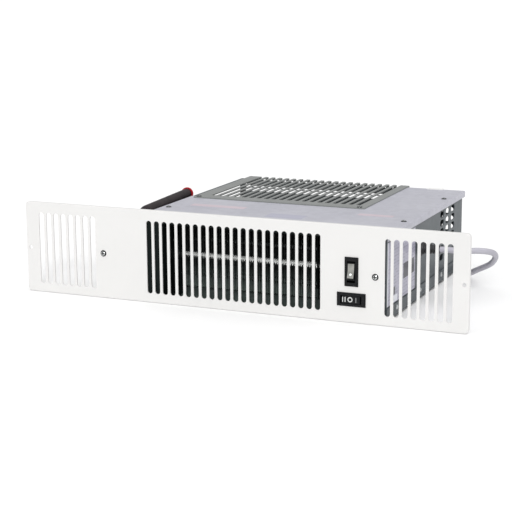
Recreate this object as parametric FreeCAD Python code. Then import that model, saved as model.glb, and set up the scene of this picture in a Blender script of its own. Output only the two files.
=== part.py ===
"""Kitchen plinth fan convector heater, in millimetres.

X runs along the grille, +Y runs from the grille to the back of the heater and +Z is up.
Inside this file Y is measured from the front face of the grille; every shape is moved by
-MID_DEPTH when it is written, so that the stored origin is the middle of the footprint.
"""
import FreeCAD
import Part
import math
import os

V = FreeCAD.Vector

# ---------------------------------------------------------------- driving dimensions
# Front grille: a folded tray with three groups of upright slots
GRILLE_W = 500.0
GRILLE_H = 100.0
GRILLE_RETURN = 4.5
GRILLE_T = 1.2
GRILLE_CORNER = 4.0
SLOT_L = 79.0
SLOT_W = 6.1
SLOT_PITCH = 9.1
SLOT_RISE = 49.2
SIDE_SLOTS = 8
SIDE_GROUP_INSET = 51.4
OUTLET_SLOTS = 22
OUTLET_X = -3.0
FIXING_INSET = 5.0
FIXING_HOLE_D = 4.2
GRILLE_SCREW_X = 154.0
GRILLE_SCREW_D = 3.5
SCREW_HEAD_D = 7.0
SCREW_HEAD_H = 2.0
WING_EDGE = 9.0

# Case
BODY_W = 280.0
BODY_RIGHT = 163.0
CASE_FRONT = 7.5
BODY_BACK = 285.0
CASE_TOP = 91.0
FOOT_H = 3.0
FOOT_D = 16.0
FOOT_INSET = 16.0
SHEET = 1.0
SEAM = 0.2
BASE_UPSTAND = 12.5
COVER_FLANGE = 7.0
COVER_OVERHANG = 8.0
COVER_DEPTH = 136.0
COVER_STRIP = 69.0
COVER_BEND_R = 0.9
HOLE_H = 7.4
HOLE_L = 14.0
HOLE_PITCH_Z = 9.8
HOLE_PITCH_Y = 21.5
REAR_HOLE_PITCH = 18.6
HOLES_START = 67.0
HOLE_COLUMNS = 3
HOLE_ROWS = 6
HOLE_TOP_Z = 78.6
REAR_WINDOW_Z0 = 76.0
REAR_WINDOW_H = 3.9
REAR_WINDOW_PITCH = 4.7
REAR_WINDOWS = 2
REAR_WINDOW_LEFT = 5.0
REAR_WINDOW_RIGHT = 14.0
REAR_COLUMNS = 3
WINDOW_BACK = 6.0
WINDOW_LEN = 114.0
WINDOW_Z0 = 58.0
WINDOW_Z1 = 87.0

# Labels and the clip on the back edge of the cover
LABEL_T = 0.15
DATA_Y0 = 11.0
DATA_Y1 = 103.0
DATA_Z0 = 16.5
DATA_Z1 = 82.0
CLIP_W = 19.0
CLIP_LAP = 5.0
CLIP_T = 1.0
CLIP_INSET = 26.2

# Inlet guard over the rear chamber
GUARD_T = 1.2
GUARD_LEFT = 6.0
GUARD_LEFT_BORDER = 15.0
GUARD_RIGHT_BORDER = 10.4
GUARD_FRONT_BORDER = 19.0
GUARD_LAP = 10.0
GUARD_REACH = 13.0
GUARD_LIP = 12.0
GUARD_LIP_BAND = 3.0
GUARD_SLOTS = 20
GUARD_SCREW_INSET = 7.0
GUARD_SCREW_LEFT = 5.0
GUARD_SCREW_Y = 3.0
SHEET_SCREW_D = 3.0
SHEET_SCREW_HEAD = 6.0
SHEET_SCREW_RISE = 1.6
COVER_SCREW_L = 5.0
GUARD_SCREW_L = 6.0
GRILLE_SCREW_L = 9.0
COVER_SCREW_INSET = 6.5
COVER_SCREW_FRONT_Y = 83.0
COVER_SCREW_BACK_Y = 229.5
COVER_SCREW_LEFT_Y = 70.0
GUARD_SLOT_W = 5.4

# Bays inside the case
MOTOR_BAY = 33.0
WIRE_BAY = 63.0
FRAME_GAP = 0.3

# Heat exchanger: finned block with staggered tubes
FIN_T = 0.25
FIN_PITCH = 2.4
FIN_DEPTH = 31.5
FIN_FRONT = 31.5
FIN_Z0 = 14.0
FIN_Z1 = 86.0
TUBE_D = 9.5
TUBE_WALL = 0.7
TUBE_PITCH = 18.5
TUBE_FRONT_Y = 38.0
TUBE_LOW_Z = 28.5
TUBE_ROWS = 3
TUBE_STUB = 6.0
END_PLATE_T = 1.0

# Pipe tails at the left; the X values are measured outwards from the case
ELBOW_D = 15.0
ELBOW_ARM = 13.0
ELBOW_X = 9.5
HOSE_D = 12.0
HOSE_WALL = 2.6
HOSE_END_Y = 162.0
RETURN_END_Y = 150.0
HOSE_TOP_Z = 90.0
HOSE_KNEE_Y = 21.0
HOSE_KNEE_X = 6.6
HOSE_END_X = 15.8
HOSE_BEND_R = 20.0
NUT_D = 17.0
NUT_L = 7.0
PLUG_L = 12.0
PLUG_RIM = 3.6
PLUG_RIM_D = 14.4

# Cross-flow fan
FAN_Y = 104.0
FAN_Z = 48.0
FAN_D = 60.0
FAN_END_GAP = 9.0
DISC_T = 1.5
DISC_COUNT = 4
BLADE_COUNT = 26
BLADE_DEPTH = 7.5
BLADE_T = 0.5
BLADE_RIM = 0.6
BLADE_BOW_R = 8.0
BLADE_TILT = 30.0
SHAFT_D = 6.0
SHAFT_FIT = 0.05
SCROLL_T = 1.0
SCROLL_GAP = 5.0
TONGUE_GAP = 3.0

# Shaded-pole motor
CORE_T = 18.0
CORE_W = 50.0
CORE_TOP = 22.0
CORE_BOTTOM = 39.0
ROTOR_D = 26.0
AIR_GAP = 0.5
YOKE_W = 8.0
WINDOW_H = 13.0
WINDOW_W = 30.0
COIL_T = 5.0
BRIDGE_T = 2.0
BRIDGE_H = 14.0
MOTOR_SCREW_D = 4.0
HUB_D = 14.0

# Rocker switches: bezel size, body size and the swing of each rocker
SWITCH_INSET = 34.0
UPPER_Z = 52.6
UPPER_W = 14.5
UPPER_H = 30.0
LOWER_Z = 24.0
LOWER_W = 30.5
LOWER_H = 14.1
BEZEL_PROUD = 1.8
BEZEL_RIM = 2.8
BEZEL_END = 4.0
BEZEL_STEP = 0.6
BEZEL_STEP_W = 1.1
BODY_INSET = 1.0
SWITCH_DEPTH = 21.0
CUTOUT_GAP = 0.25
ROCKER_GAP = 0.45
UPPER_TIP = 2.8
LOWER_TIP = 1.6
PIVOT_DEPTH = 3.5
PIVOT_D = 2.4
TWO_STEP_ANGLE = 11.0
THREE_STEP_ANGLE = 10.0
LENS_D = 3.0
LENS_OFFSET = 3.6
BLADE_TERM_W = 4.8
BLADE_TERM_T = 0.8
BLADE_TERM_L = 8.0

# Wiring bay
TERM_W = 26.0
TERM_D = 18.0
TERM_H = 15.0
TERM_Y = 78.0
TERM_WAYS = 3
EARTH_Y = 50.0
CLAMP_GAP = 9.0
WIRE_D = 2.2

# Supply cable
CABLE_D = 6.5
CABLE_Y = 122.0
CABLE_Z = 56.0
RELIEF_L = 22.0
RELIEF_D0 = 13.0
RELIEF_D1 = 9.0
RELIEF_COLLAR = 17.0
CABLE_LAP = 6.6
COIL_OUTER_R = 44.5
COIL_INNER_R = 28.0
COIL_LEAD = 26.0
COIL_LEAVE_ANGLE = 100.0
CABLE_TAIL = 62.0
CORE_D = 2.4
CORE_L = 34.0
CORE_SPREAD = 14.0
FERRULE_L = 9.0
FERRULE_D = 1.4

# ---------------------------------------------------------------- derived values
body_l = BODY_RIGHT - BODY_W
body_r = BODY_RIGHT
frame_y = GRILLE_T + FRAME_GAP
frame_back = frame_y + SHEET
floor_z = FOOT_H + SHEET
sheet_top = CASE_TOP - SHEET
duct_l = body_l + MOTOR_BAY
duct_r = body_r - WIRE_BAY
cover_l = body_l - SHEET
cover_r = body_r + SEAM + SHEET
cover_back = BODY_BACK + COVER_OVERHANG
strip_x = cover_r - COVER_STRIP
guard_r = strip_x
guard_back = BODY_BACK + GUARD_REACH
SWITCH_X = body_r - SWITCH_INSET
bay_x = (duct_r + body_r - SHEET) / 2
fixing_x = GRILLE_W / 2 - FIXING_INSET
wing_half = GRILLE_SCREW_X + WING_EDGE
fins_l = duct_l + 7.0
fins_r = duct_r - 20.0
tube_dy = TUBE_PITCH * math.cos(math.radians(30))
tube_dz = TUBE_PITCH / 2
fan_l = duct_l + FAN_END_GAP
fan_r = duct_r - FAN_END_GAP
fan_r_out = FAN_D / 2
core_l = body_l + SHEET + (MOTOR_BAY - SHEET - CORE_T) / 2
core_r = core_l + CORE_T
front_reach = BEZEL_PROUD + UPPER_TIP
MID_DEPTH = (guard_back - front_reach) / 2


# ---------------------------------------------------------------- helpers
def box(x0, x1, y0, y1, z0, z1):
    return Part.makeBox(x1 - x0, y1 - y0, z1 - z0, V(x0, y0, z0))


def cyl(d, length, base, axis):
    return Part.makeCylinder(d / 2, length, V(*base), V(*axis))


def union(shapes):
    first = shapes[0]
    if len(shapes) == 1:
        return first
    return first.multiFuse(shapes[1:]).removeSplitter()


def cut_all(shape, tools):
    return shape.cut(Part.makeCompound(tools))


def slot_tool(x, z, width, length, y0, y1):
    """A round-ended upright slot that runs from y0 to y1."""
    half = (length - width) / 2
    depth = y1 - y0
    ends = [cyl(width, depth, (x, y0, z + side * half), (0, 1, 0)) for side in (-1, 1)]
    return union([box(x - width / 2, x + width / 2, y0, y1, z - half, z + half)] + ends)


def path_wire(points, radius=None):
    """Straight runs joined by tangent arcs; also returns the length and the smallest arc."""
    pts = [V(*p) for p in points]
    edges = []
    length = 0.0
    smallest = 1e9
    start = pts[0]
    for before, corner, after in zip(pts, pts[1:], pts[2:]):
        d1 = (corner - before).normalize()
        d2 = (after - corner).normalize()
        turn = d1.getAngle(d2)
        r = radius
        if r is None:
            r = 0.45 * min((corner - before).Length, (after - corner).Length) / math.tan(turn / 2)
        trim = r * math.tan(turn / 2)
        a = corner - d1 * trim
        b = corner + d2 * trim
        inward = (d2 - d1).normalize()
        middle = corner + inward * (r / math.cos(turn / 2) - r)
        if (a - start).Length > 1e-6:
            edges.append(Part.makeLine(start, a))
            length += (a - start).Length
        edges.append(Part.Arc(a, middle, b).toShape())
        length += r * turn
        smallest = min(smallest, r)
        start = b
    if (pts[-1] - start).Length > 1e-6:
        edges.append(Part.makeLine(start, pts[-1]))
        length += (pts[-1] - start).Length
    return Part.Wire(edges), length, smallest


def rod(points, d, radius=None):
    """A solid round bar along a path of runs and arcs."""
    wire = path_wire(points, radius)[0]
    heading = V(*points[1]) - V(*points[0])
    ring = Part.Wire(Part.makeCircle(d / 2, V(*points[0]), heading))
    return wire.makePipeShell([ring], True, False)


def pipe(points, d, wall, radius=None):
    return rod(points, d, radius).cut(rod(points, d - 2 * wall, radius))


def outline(points, y0, y1, plane="XZ"):
    """A closed polygon in XZ (or YZ) pushed along the third axis."""
    if plane == "XZ":
        corners = [V(a, y0, b) for a, b in points]
        push = V(0, y1 - y0, 0)
    else:
        corners = [V(y0, a, b) for a, b in points]
        push = V(y1 - y0, 0, 0)
    return Part.Face(Part.makePolygon(corners + corners[:1])).extrude(push)


def sheet_along(points, thickness, x0, x1):
    """A bent sheet: an open YZ line given a thickness and pushed along X."""
    wire = Part.makePolygon([V(x0, y, z) for y, z in points])
    face = wire.makeOffset2D(thickness / 2, 0, True, True, False)
    return face.extrude(V(x1 - x0, 0, 0))


def pan_screw(base, axis, shank_d, shank_l, head_d=SCREW_HEAD_D, head_h=SCREW_HEAD_H):
    """A cross-recess screw; base is under its head and axis is the way the head faces."""
    out = V(*axis)
    at = V(*base)
    shank = Part.makeCylinder(shank_d / 2, shank_l, at, out * -1)
    head = Part.makeCylinder(head_d / 2, head_h, at, out)
    rim = [e for e in head.Edges if (e.CenterOfMass - (at + out * head_h)).Length < 1e-6]
    head = head.makeFillet(head_h * 0.6, rim)
    across = V(0, 0, 1) if abs(out.z) < 0.5 else V(1, 0, 0)
    side = out.cross(across)
    wide = head_d * 0.5
    thin = head_d * 0.13
    deep = head_h * 0.5
    tools = []
    for along, aside in ((across, side), (side, across)):
        corner = at + out * (head_h - deep) - along * (wide / 2) - aside * (thin / 2)
        base_face = Part.Face(Part.makePolygon([
            corner, corner + along * wide, corner + along * wide + aside * thin,
            corner + aside * thin, corner]))
        tools.append(base_face.extrude(out * (deep + 1)))
    return cut_all(union([shank, head]), tools)


PIECES = {}


def add(name, *shapes):
    """Register a node; several shapes make a group of separate solids."""
    PIECES[name] = shapes[0] if len(shapes) == 1 else Part.makeCompound(list(shapes))


# ---------------------------------------------------------------- front grille and frame
def switch_cutouts(y0, y1, gap):
    upper = box(SWITCH_X - UPPER_W / 2 + BODY_INSET - gap, SWITCH_X + UPPER_W / 2 - BODY_INSET + gap,
                y0, y1, UPPER_Z - UPPER_H / 2 + BODY_INSET - gap, UPPER_Z + UPPER_H / 2 - BODY_INSET + gap)
    lower = box(SWITCH_X - LOWER_W / 2 + BODY_INSET - gap, SWITCH_X + LOWER_W / 2 - BODY_INSET + gap,
                y0, y1, LOWER_Z - LOWER_H / 2 + BODY_INSET - gap, LOWER_Z + LOWER_H / 2 - BODY_INSET + gap)
    return [upper, lower]


def slot_places():
    groups = [(-GRILLE_W / 2 + SIDE_GROUP_INSET, SIDE_SLOTS), (OUTLET_X, OUTLET_SLOTS),
              (GRILLE_W / 2 - SIDE_GROUP_INSET, SIDE_SLOTS)]
    return [mid + (i - (count - 1) / 2) * SLOT_PITCH for mid, count in groups for i in range(count)]


def front_grille():
    half = GRILLE_W / 2
    block = box(-half, half, 0, GRILLE_RETURN, 0, GRILLE_H)
    corners = [e for e in block.Edges if abs(e.Vertexes[0].Y - e.Vertexes[-1].Y) > GRILLE_RETURN - 0.1]
    block = block.makeFillet(GRILLE_CORNER, corners)
    rim = [e for e in block.Edges if e.CenterOfMass.y < 1e-6]
    block = block.makeFillet(0.8, rim)
    inner = box(-half + GRILLE_T, half - GRILLE_T, GRILLE_T, GRILLE_RETURN + 1, GRILLE_T, GRILLE_H - GRILLE_T)
    inside = [e for e in inner.Edges if abs(e.Vertexes[0].Y - e.Vertexes[-1].Y) > GRILLE_T]
    inner = inner.makeFillet(GRILLE_CORNER - GRILLE_T, inside)
    tools = [slot_tool(x, SLOT_RISE, SLOT_W, SLOT_L, -1, GRILLE_T + 1) for x in slot_places()]
    for x in (-fixing_x, fixing_x):
        tools.append(cyl(FIXING_HOLE_D, GRILLE_T + 2, (x, -1, SLOT_RISE), (0, 1, 0)))
    for x in (-GRILLE_SCREW_X, GRILLE_SCREW_X):
        tools.append(cyl(GRILLE_SCREW_D + 0.6, GRILLE_T + 2, (x, -1, SLOT_RISE), (0, 1, 0)))
    tools += switch_cutouts(-1, GRILLE_T + 1, CUTOUT_GAP)
    return cut_all(block.cut(inner), tools)


def front_frame():
    top = sheet_top
    plate = box(-wing_half, wing_half, frame_y, frame_back, FOOT_H + SHEET, top)
    foot = box(duct_l + SHEET, duct_r - SHEET, frame_back, frame_back + 9, floor_z, floor_z + SHEET)
    window = box(duct_l + SHEET, duct_r - SHEET, frame_y - 1, frame_back + 1, 9, top - 4)
    tools = [window] + switch_cutouts(frame_y - 1, frame_back + 1, CUTOUT_GAP + 0.6)
    for x in (-GRILLE_SCREW_X, GRILLE_SCREW_X):
        tools.append(cyl(GRILLE_SCREW_D, SHEET + 2, (x, frame_y - 1, SLOT_RISE), (0, 1, 0)))
    return cut_all(union([plate, foot]), tools)


# ---------------------------------------------------------------- case
def base_tray():
    left = body_l - SEAM - SHEET
    right = body_r + SEAM + SHEET
    back = BODY_BACK + SEAM + SHEET
    front = CASE_FRONT
    tray = box(left, right, front, back, FOOT_H, FOOT_H + BASE_UPSTAND)
    inner = box(left + SHEET, right - SHEET, front - 1, back - SHEET, floor_z, FOOT_H + BASE_UPSTAND + 1)
    lip = box(duct_l, duct_r, frame_back, front, FOOT_H, floor_z)
    return union([tray.cut(inner), lip])


def vent_tool(middle, z, side):
    """A lying round-ended vent hole through a side wall ("x") or the rear wall ("y")."""
    half = (HOLE_L - HOLE_H) / 2
    deep = SHEET + 2
    if side == "x":
        x0 = body_r - SHEET - 1
        bar = box(x0, x0 + deep, middle - half, middle + half, z - HOLE_H / 2, z + HOLE_H / 2)
        return union([bar] + [cyl(HOLE_H, deep, (x0, middle + s * half, z), (1, 0, 0)) for s in (-1, 1)])
    y0 = BODY_BACK - SHEET - 1
    bar = box(middle - half, middle + half, y0, y0 + deep, z - HOLE_H / 2, z + HOLE_H / 2)
    return union([bar] + [cyl(HOLE_H, deep, (middle + s * half, y0, z), (0, 1, 0)) for s in (-1, 1)])


def vent_rows():
    return [HOLE_TOP_Z - row * HOLE_PITCH_Z for row in range(HOLE_ROWS)]


def right_panel():
    plate = box(body_r - SHEET, body_r, CASE_FRONT, BODY_BACK - SHEET, floor_z, sheet_top)
    columns = [COVER_DEPTH + HOLES_START + i * HOLE_PITCH_Y for i in range(HOLE_COLUMNS)]
    tools = [vent_tool(y, z, "x") for y in columns for z in vent_rows()]
    tools.append(cyl(RELIEF_D0 - 2, SHEET + 2, (body_r - SHEET - 1, CABLE_Y, CABLE_Z), (1, 0, 0)))
    return cut_all(plate, tools)


def pipe_exits():
    """Left-hand ends of the two tubes that leave the case: (name, y, z)."""
    low = (TUBE_FRONT_Y, TUBE_LOW_Z)
    high = (TUBE_FRONT_Y + tube_dy, TUBE_LOW_Z + tube_dz + (TUBE_ROWS - 1) * TUBE_PITCH)
    return {"flow": low, "return": high}


def left_panel():
    plate = box(body_l, body_l + SHEET, CASE_FRONT, BODY_BACK - SHEET, floor_z, sheet_top)
    flange = box(body_l, body_l + GUARD_LEFT_BORDER, COVER_DEPTH + GUARD_LAP, BODY_BACK, sheet_top, CASE_TOP)
    y1 = BODY_BACK - WINDOW_BACK
    tools = [box(body_l - 1, body_l + SHEET + 1, y1 - WINDOW_LEN, y1, WINDOW_Z0, WINDOW_Z1)]
    for y, z in pipe_exits().values():
        tools.append(cyl(TUBE_D + 1.0, SHEET + 2, (body_l - 1, y, z), (1, 0, 0)))
    return cut_all(union([plate, flange]), tools)


def rear_panel():
    plate = box(body_l, body_r, BODY_BACK - SHEET, BODY_BACK, floor_z, sheet_top)
    columns = [body_r - 1.2 * HOLE_L - i * REAR_HOLE_PITCH for i in range(REAR_COLUMNS)]
    tools = [vent_tool(x, z, "y") for x in columns for z in vent_rows()]
    for i in range(REAR_WINDOWS):
        z0 = REAR_WINDOW_Z0 + i * REAR_WINDOW_PITCH
        tools.append(box(body_l + REAR_WINDOW_LEFT, guard_r - REAR_WINDOW_RIGHT, BODY_BACK - SHEET - 1,
                         BODY_BACK + 1, z0, z0 + REAR_WINDOW_H))
    return cut_all(plate, tools)


def cover_screw_places():
    x = body_r - COVER_SCREW_INSET
    left = (body_l + COVER_SCREW_INSET + 0.5, COVER_SCREW_LEFT_Y)
    return [(x, COVER_SCREW_FRONT_Y), (x + 0.5, COVER_SCREW_BACK_Y), left]


def guard_screw_places():
    y = COVER_DEPTH + GUARD_SCREW_Y
    return [(guard_r - GUARD_SCREW_INSET, y), (body_l + GUARD_LEFT + GUARD_SCREW_LEFT, y)]


def top_cover():
    y0 = frame_back - SHEET + 0.5
    under = GUARD_LAP - 0.5
    front = box(cover_l, cover_r, y0, COVER_DEPTH + under, sheet_top, CASE_TOP)
    strip = box(strip_x - under, cover_r, y0, cover_back, sheet_top, CASE_TOP)
    flange_bottom = CASE_TOP - COVER_FLANGE
    side = box(cover_r - SHEET, cover_r, CASE_FRONT, cover_back, flange_bottom, CASE_TOP)
    back = box(guard_r + 1.0, cover_r, cover_back - SHEET, cover_back, flange_bottom, CASE_TOP)
    left = box(cover_l, cover_l + SHEET - SEAM, CASE_FRONT, COVER_DEPTH, flange_bottom, CASE_TOP)
    tools = [cyl(3.0, SHEET + 2, (x, y, sheet_top - 1), (0, 0, 1)) for x, y in cover_screw_places()]
    tools += [cyl(3.0, SHEET + 2, (x, y, sheet_top - 1), (0, 0, 1)) for x, y in guard_screw_places()]
    sheet = union([front, strip, side, back, left])
    bends = [e for e in sheet.Edges if abs(e.CenterOfMass.z - CASE_TOP) < 1e-6
             and (abs(e.CenterOfMass.x - cover_r) < 1e-6 or abs(e.CenterOfMass.y - cover_back) < 1e-6)]
    return cut_all(sheet.makeFillet(COVER_BEND_R, bends), tools)


def inlet_guard():
    x0 = body_l + GUARD_LEFT
    x1 = guard_r - 0.3
    y0 = COVER_DEPTH - 1.0
    top = CASE_TOP + GUARD_T
    plate = box(x0, x1, y0, guard_back, CASE_TOP, top)
    lip = box(x0, x1, guard_back - GUARD_T, guard_back, top - GUARD_LIP, top)
    sheet = union([plate, lip])
    bend = [e for e in sheet.Edges if abs(e.CenterOfMass.y - guard_back) < 1e-6
            and abs(e.CenterOfMass.z - top) < 1e-6]
    sheet = sheet.makeFillet(GUARD_T * 0.9, bend)
    first = x0 + GUARD_LEFT_BORDER + GUARD_SLOT_W / 2
    last = x1 - GUARD_RIGHT_BORDER - GUARD_SLOT_W / 2
    start = y0 + GUARD_FRONT_BORDER
    half = GUARD_SLOT_W / 2
    tools = []
    for i in range(GUARD_SLOTS):
        x = first + (last - first) * i / (GUARD_SLOTS - 1)
        flat = box(x - half, x + half, start, guard_back + 1,
                   top - GUARD_LIP + GUARD_LIP_BAND, top + 1)
        tools.append(flat)
        tools.append(cyl(GUARD_SLOT_W, GUARD_T + 2, (x, start, CASE_TOP - 1), (0, 0, 1)))
    tools += [cyl(3.2, GUARD_T + 2, (x, y, CASE_TOP - 1), (0, 0, 1)) for x, y in guard_screw_places()]
    return cut_all(sheet, tools)


def feet():
    pads = []
    for x in (body_l + FOOT_INSET, body_r - FOOT_INSET):
        for y in (frame_back + 2 * FOOT_INSET, BODY_BACK - FOOT_INSET):
            pads.append(Part.makeCone(FOOT_D / 2 - 1, FOOT_D / 2, FOOT_H, V(x, y, 0)))
    return pads


def case_rivets():
    rivets = []
    z = FOOT_H + BASE_UPSTAND - 5
    for y in (40.0, 120.0, 200.0, BODY_BACK - 20):
        for x, out in ((body_r + SEAM + SHEET, 1), (body_l - SEAM - SHEET, -1)):
            rivets.append(Part.makeCone(2.6, 1.6, 1.0, V(x, y, z), V(out, 0, 0)))
    return rivets


def cover_labels():
    t = LABEL_T
    spots = [(99, 39, 100, 10), (-93, 65, 88, 12), (10, 42, 56, 20)]
    return [box(x, x + wide, y, y + deep, CASE_TOP, CASE_TOP + t) for x, wide, y, deep in spots]


def data_label():
    return box(body_r, body_r + LABEL_T, DATA_Y0, DATA_Y1, DATA_Z0, DATA_Z1)


def edge_clip():
    """A thin spring clip over the back edge of the cover."""
    x0 = cover_r - CLIP_INSET - CLIP_W
    return box(x0, x0 + CLIP_W, cover_back - CLIP_LAP, cover_back + 1.2, CASE_TOP, CASE_TOP + CLIP_T)


# ---------------------------------------------------------------- air path
def duct_floor():
    y0 = frame_back + 10
    points = [(y0, floor_z + 1.6), (FIN_FRONT - 1.5, FIN_Z0 - 1.5), (FIN_FRONT + FIN_DEPTH + 4, FIN_Z0 - 1.5)]
    return sheet_along(points, SCROLL_T, duct_l + SHEET + SEAM, duct_r - SHEET - SEAM)


def scroll():
    """The curved back of the fan housing, growing wider towards the outlet."""
    near = fan_r_out + SCROLL_GAP
    start = 40.0
    end = -92.0
    steps = 14
    points = []
    for i in range(steps + 1):
        share = i / steps
        angle = math.radians(start + (end - start) * share)
        r = near + SCROLL_T + 1.2 * share
        points.append((FAN_Y + r * math.cos(angle), FAN_Z + r * math.sin(angle)))
    points = [(points[0][0] + 3.0, points[0][1] + 10.0)] + points
    points.append((FIN_FRONT + FIN_DEPTH + 8, FIN_Z0 - 2.5))
    return sheet_along(points, SCROLL_T, duct_l + SHEET + SEAM, duct_r - SHEET - SEAM)


def tongue():
    """The lip above the wheel that parts the inlet from the outlet."""
    angle = math.radians(128)
    r = fan_r_out + TONGUE_GAP + SCROLL_T
    tip = (FAN_Y + r * math.cos(angle), FAN_Z + r * math.sin(angle))
    angle2 = math.radians(150)
    low = (FAN_Y + (r + 1) * math.cos(angle2), FAN_Z + (r + 1) * math.sin(angle2))
    top = sheet_top - SCROLL_T / 2
    points = [(tip[0] + 26, top), (tip[0] + 4, top), tip, low, (FIN_FRONT + FIN_DEPTH + 6, low[1] + 9),
              (FIN_FRONT + FIN_DEPTH + 6, top - 3)]
    return sheet_along(points, SCROLL_T, duct_l + SHEET + SEAM, duct_r - SHEET - SEAM)


def tube_centres():
    """(y, z) of every tube, front row first in each pair, bottom to top."""
    places = []
    for k in range(TUBE_ROWS):
        z = TUBE_LOW_Z + k * TUBE_PITCH
        places.append(((TUBE_FRONT_Y, z), (TUBE_FRONT_Y + tube_dy, z + tube_dz)))
    return places


def partition(x):
    return box(x, x + SHEET, frame_back, COVER_DEPTH, floor_z, sheet_top)


def left_partition():
    tools = [cyl(SHAFT_D + 6, SHEET + 2, (duct_l - 1, FAN_Y, FAN_Z), (1, 0, 0))]
    for pair in tube_centres():
        for y, z in pair:
            tools.append(cyl(TUBE_D + 1.0, SHEET + 2, (duct_l - 1, y, z), (1, 0, 0)))
    for y, z in motor_screw_places():
        tools.append(cyl(MOTOR_SCREW_D - 0.5, SHEET + 2, (duct_l - 1, y, z), (1, 0, 0)))
    return cut_all(partition(duct_l), tools)


def right_partition():
    bore = cyl(HUB_D + 6, SHEET + 2, (duct_r - SHEET - 1, FAN_Y, FAN_Z), (1, 0, 0))
    return partition(duct_r - SHEET).cut(bore)


# ---------------------------------------------------------------- heat exchanger
def exchanger_fins():
    holes = [cyl(TUBE_D + 0.1, FIN_T + 2, (-1, y, z), (1, 0, 0)) for pair in tube_centres() for y, z in pair]
    fin = cut_all(box(0, FIN_T, FIN_FRONT, FIN_FRONT + FIN_DEPTH, FIN_Z0, FIN_Z1), holes)
    count = int((fins_r - fins_l - 2 * END_PLATE_T) / FIN_PITCH)
    first = (fins_l + fins_r - (count - 1) * FIN_PITCH) / 2
    return [fin.translated(V(first + i * FIN_PITCH, 0, 0)) for i in range(count)]


def end_plates():
    holes = [cyl(TUBE_D + 0.1, END_PLATE_T + 2, (-1, y, z), (1, 0, 0)) for pair in tube_centres() for y, z in pair]
    plate = cut_all(box(0, END_PLATE_T, FIN_FRONT - 1, FIN_FRONT + FIN_DEPTH + 1, FIN_Z0 - 1, FIN_Z1 + 2), holes)
    return [plate.translated(V(fins_l - END_PLATE_T, 0, 0)), plate.translated(V(fins_r, 0, 0))]


def hairpins():
    """Each front tube and the rear tube above it are one bent tube."""
    x0 = duct_l - TUBE_STUB
    x1 = fins_r + 4.0 + TUBE_PITCH / 2
    shapes = []
    for (ya, za), (yb, zb) in tube_centres():
        points = [(x0, ya, za), (x1, ya, za), (x1, yb, zb), (x0, yb, zb)]
        shapes.append(pipe(points, TUBE_D, TUBE_WALL, TUBE_PITCH / 2))
    return shapes


def return_bends():
    pairs = tube_centres()
    shapes = []
    x1 = duct_l - TUBE_STUB
    x0 = x1 - 0.5 - TUBE_PITCH / 2
    for lower, upper in zip(pairs, pairs[1:]):
        (ya, za), (yb, zb) = lower[1], upper[0]
        points = [(x1, ya, za), (x0, ya, za), (x0, yb, zb), (x1, yb, zb)]
        shapes.append(pipe(points, TUBE_D, TUBE_WALL, TUBE_PITCH / 2))
    return shapes


def elbow_corner(name):
    y, z = pipe_exits()[name]
    return (body_l - ELBOW_X, y, z)


def elbow_heading(name):
    """The flow hose climbs to its knee; the return hose runs straight back."""
    if name == "return":
        return V(0, 1, 0)
    return (hose_knee() - V(*elbow_corner(name))).normalize()


def hose_knee():
    return V(body_l - HOSE_KNEE_X, HOSE_KNEE_Y, HOSE_TOP_Z)


def pipe_stubs():
    """Short tubes from the exchanger, through the case wall, into the elbows."""
    shapes = []
    for name in ("return", "flow"):
        y, z = pipe_exits()[name]
        start = duct_l - TUBE_STUB
        end = elbow_corner(name)[0] + 3.0
        tube = cyl(TUBE_D, start - end, (end, y, z), (1, 0, 0))
        bore = cyl(TUBE_D - 2 * TUBE_WALL, start - end, (end, y, z), (1, 0, 0))
        shapes.append(tube.cut(bore))
    return shapes


def hex_bar(start, heading, across, length):
    """A six-sided bar; across is its width over the corners."""
    side = heading.cross(V(1, 0, 0)).normalize()
    other = heading.cross(side).normalize()
    corners = []
    for k in range(6):
        angle = math.radians(60 * k)
        corners.append(start + side * (across / 2 * math.cos(angle)) + other * (across / 2 * math.sin(angle)))
    return Part.Face(Part.makePolygon(corners + corners[:1])).extrude(heading * length)


def elbows():
    shapes = []
    for name in ("return", "flow"):
        x, y, z = elbow_corner(name)
        heading = elbow_heading(name)
        ball = Part.makeSphere(ELBOW_D / 2, V(x, y, z))
        inlet = cyl(ELBOW_D, ELBOW_X - 1.0, (x, y, z), (1, 0, 0))
        outlet = Part.makeCylinder(ELBOW_D / 2, ELBOW_ARM, V(x, y, z), heading)
        nut_start = V(x, y, z) + heading * (ELBOW_ARM - NUT_L)
        nut = hex_bar(nut_start, heading, NUT_D, NUT_L)
        body = union([ball, inlet, outlet, nut])
        bore_in = cyl(TUBE_D, ELBOW_X, (x + 3.0, y, z), (1, 0, 0))
        way_in = cyl(TUBE_D - 2 * TUBE_WALL, ELBOW_X, (x, y, z), (1, 0, 0))
        way_out = Part.makeCylinder(HOSE_D / 2 - HOSE_WALL, ELBOW_ARM + 1, V(x, y, z), heading)
        seat = Part.makeCylinder(HOSE_D / 2, ELBOW_ARM, V(x, y, z) + heading * (ELBOW_ARM - 7), heading)
        shapes.append(cut_all(body, [bore_in, way_in, way_out, seat]))
    return shapes


def hose_points(name):
    x, y, z = elbow_corner(name)
    heading = elbow_heading(name)
    start = V(x, y, z) + heading * (ELBOW_ARM - 7)
    if name == "flow":
        return [tuple(start), tuple(hose_knee()), (body_l - HOSE_END_X, HOSE_END_Y, HOSE_TOP_Z)]
    return [tuple(start), (x, (start.y + RETURN_END_Y) / 2, z), (x - 3.0, RETURN_END_Y, z)]


def hose(name):
    return pipe(hose_points(name), HOSE_D, HOSE_WALL, HOSE_BEND_R)


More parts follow.
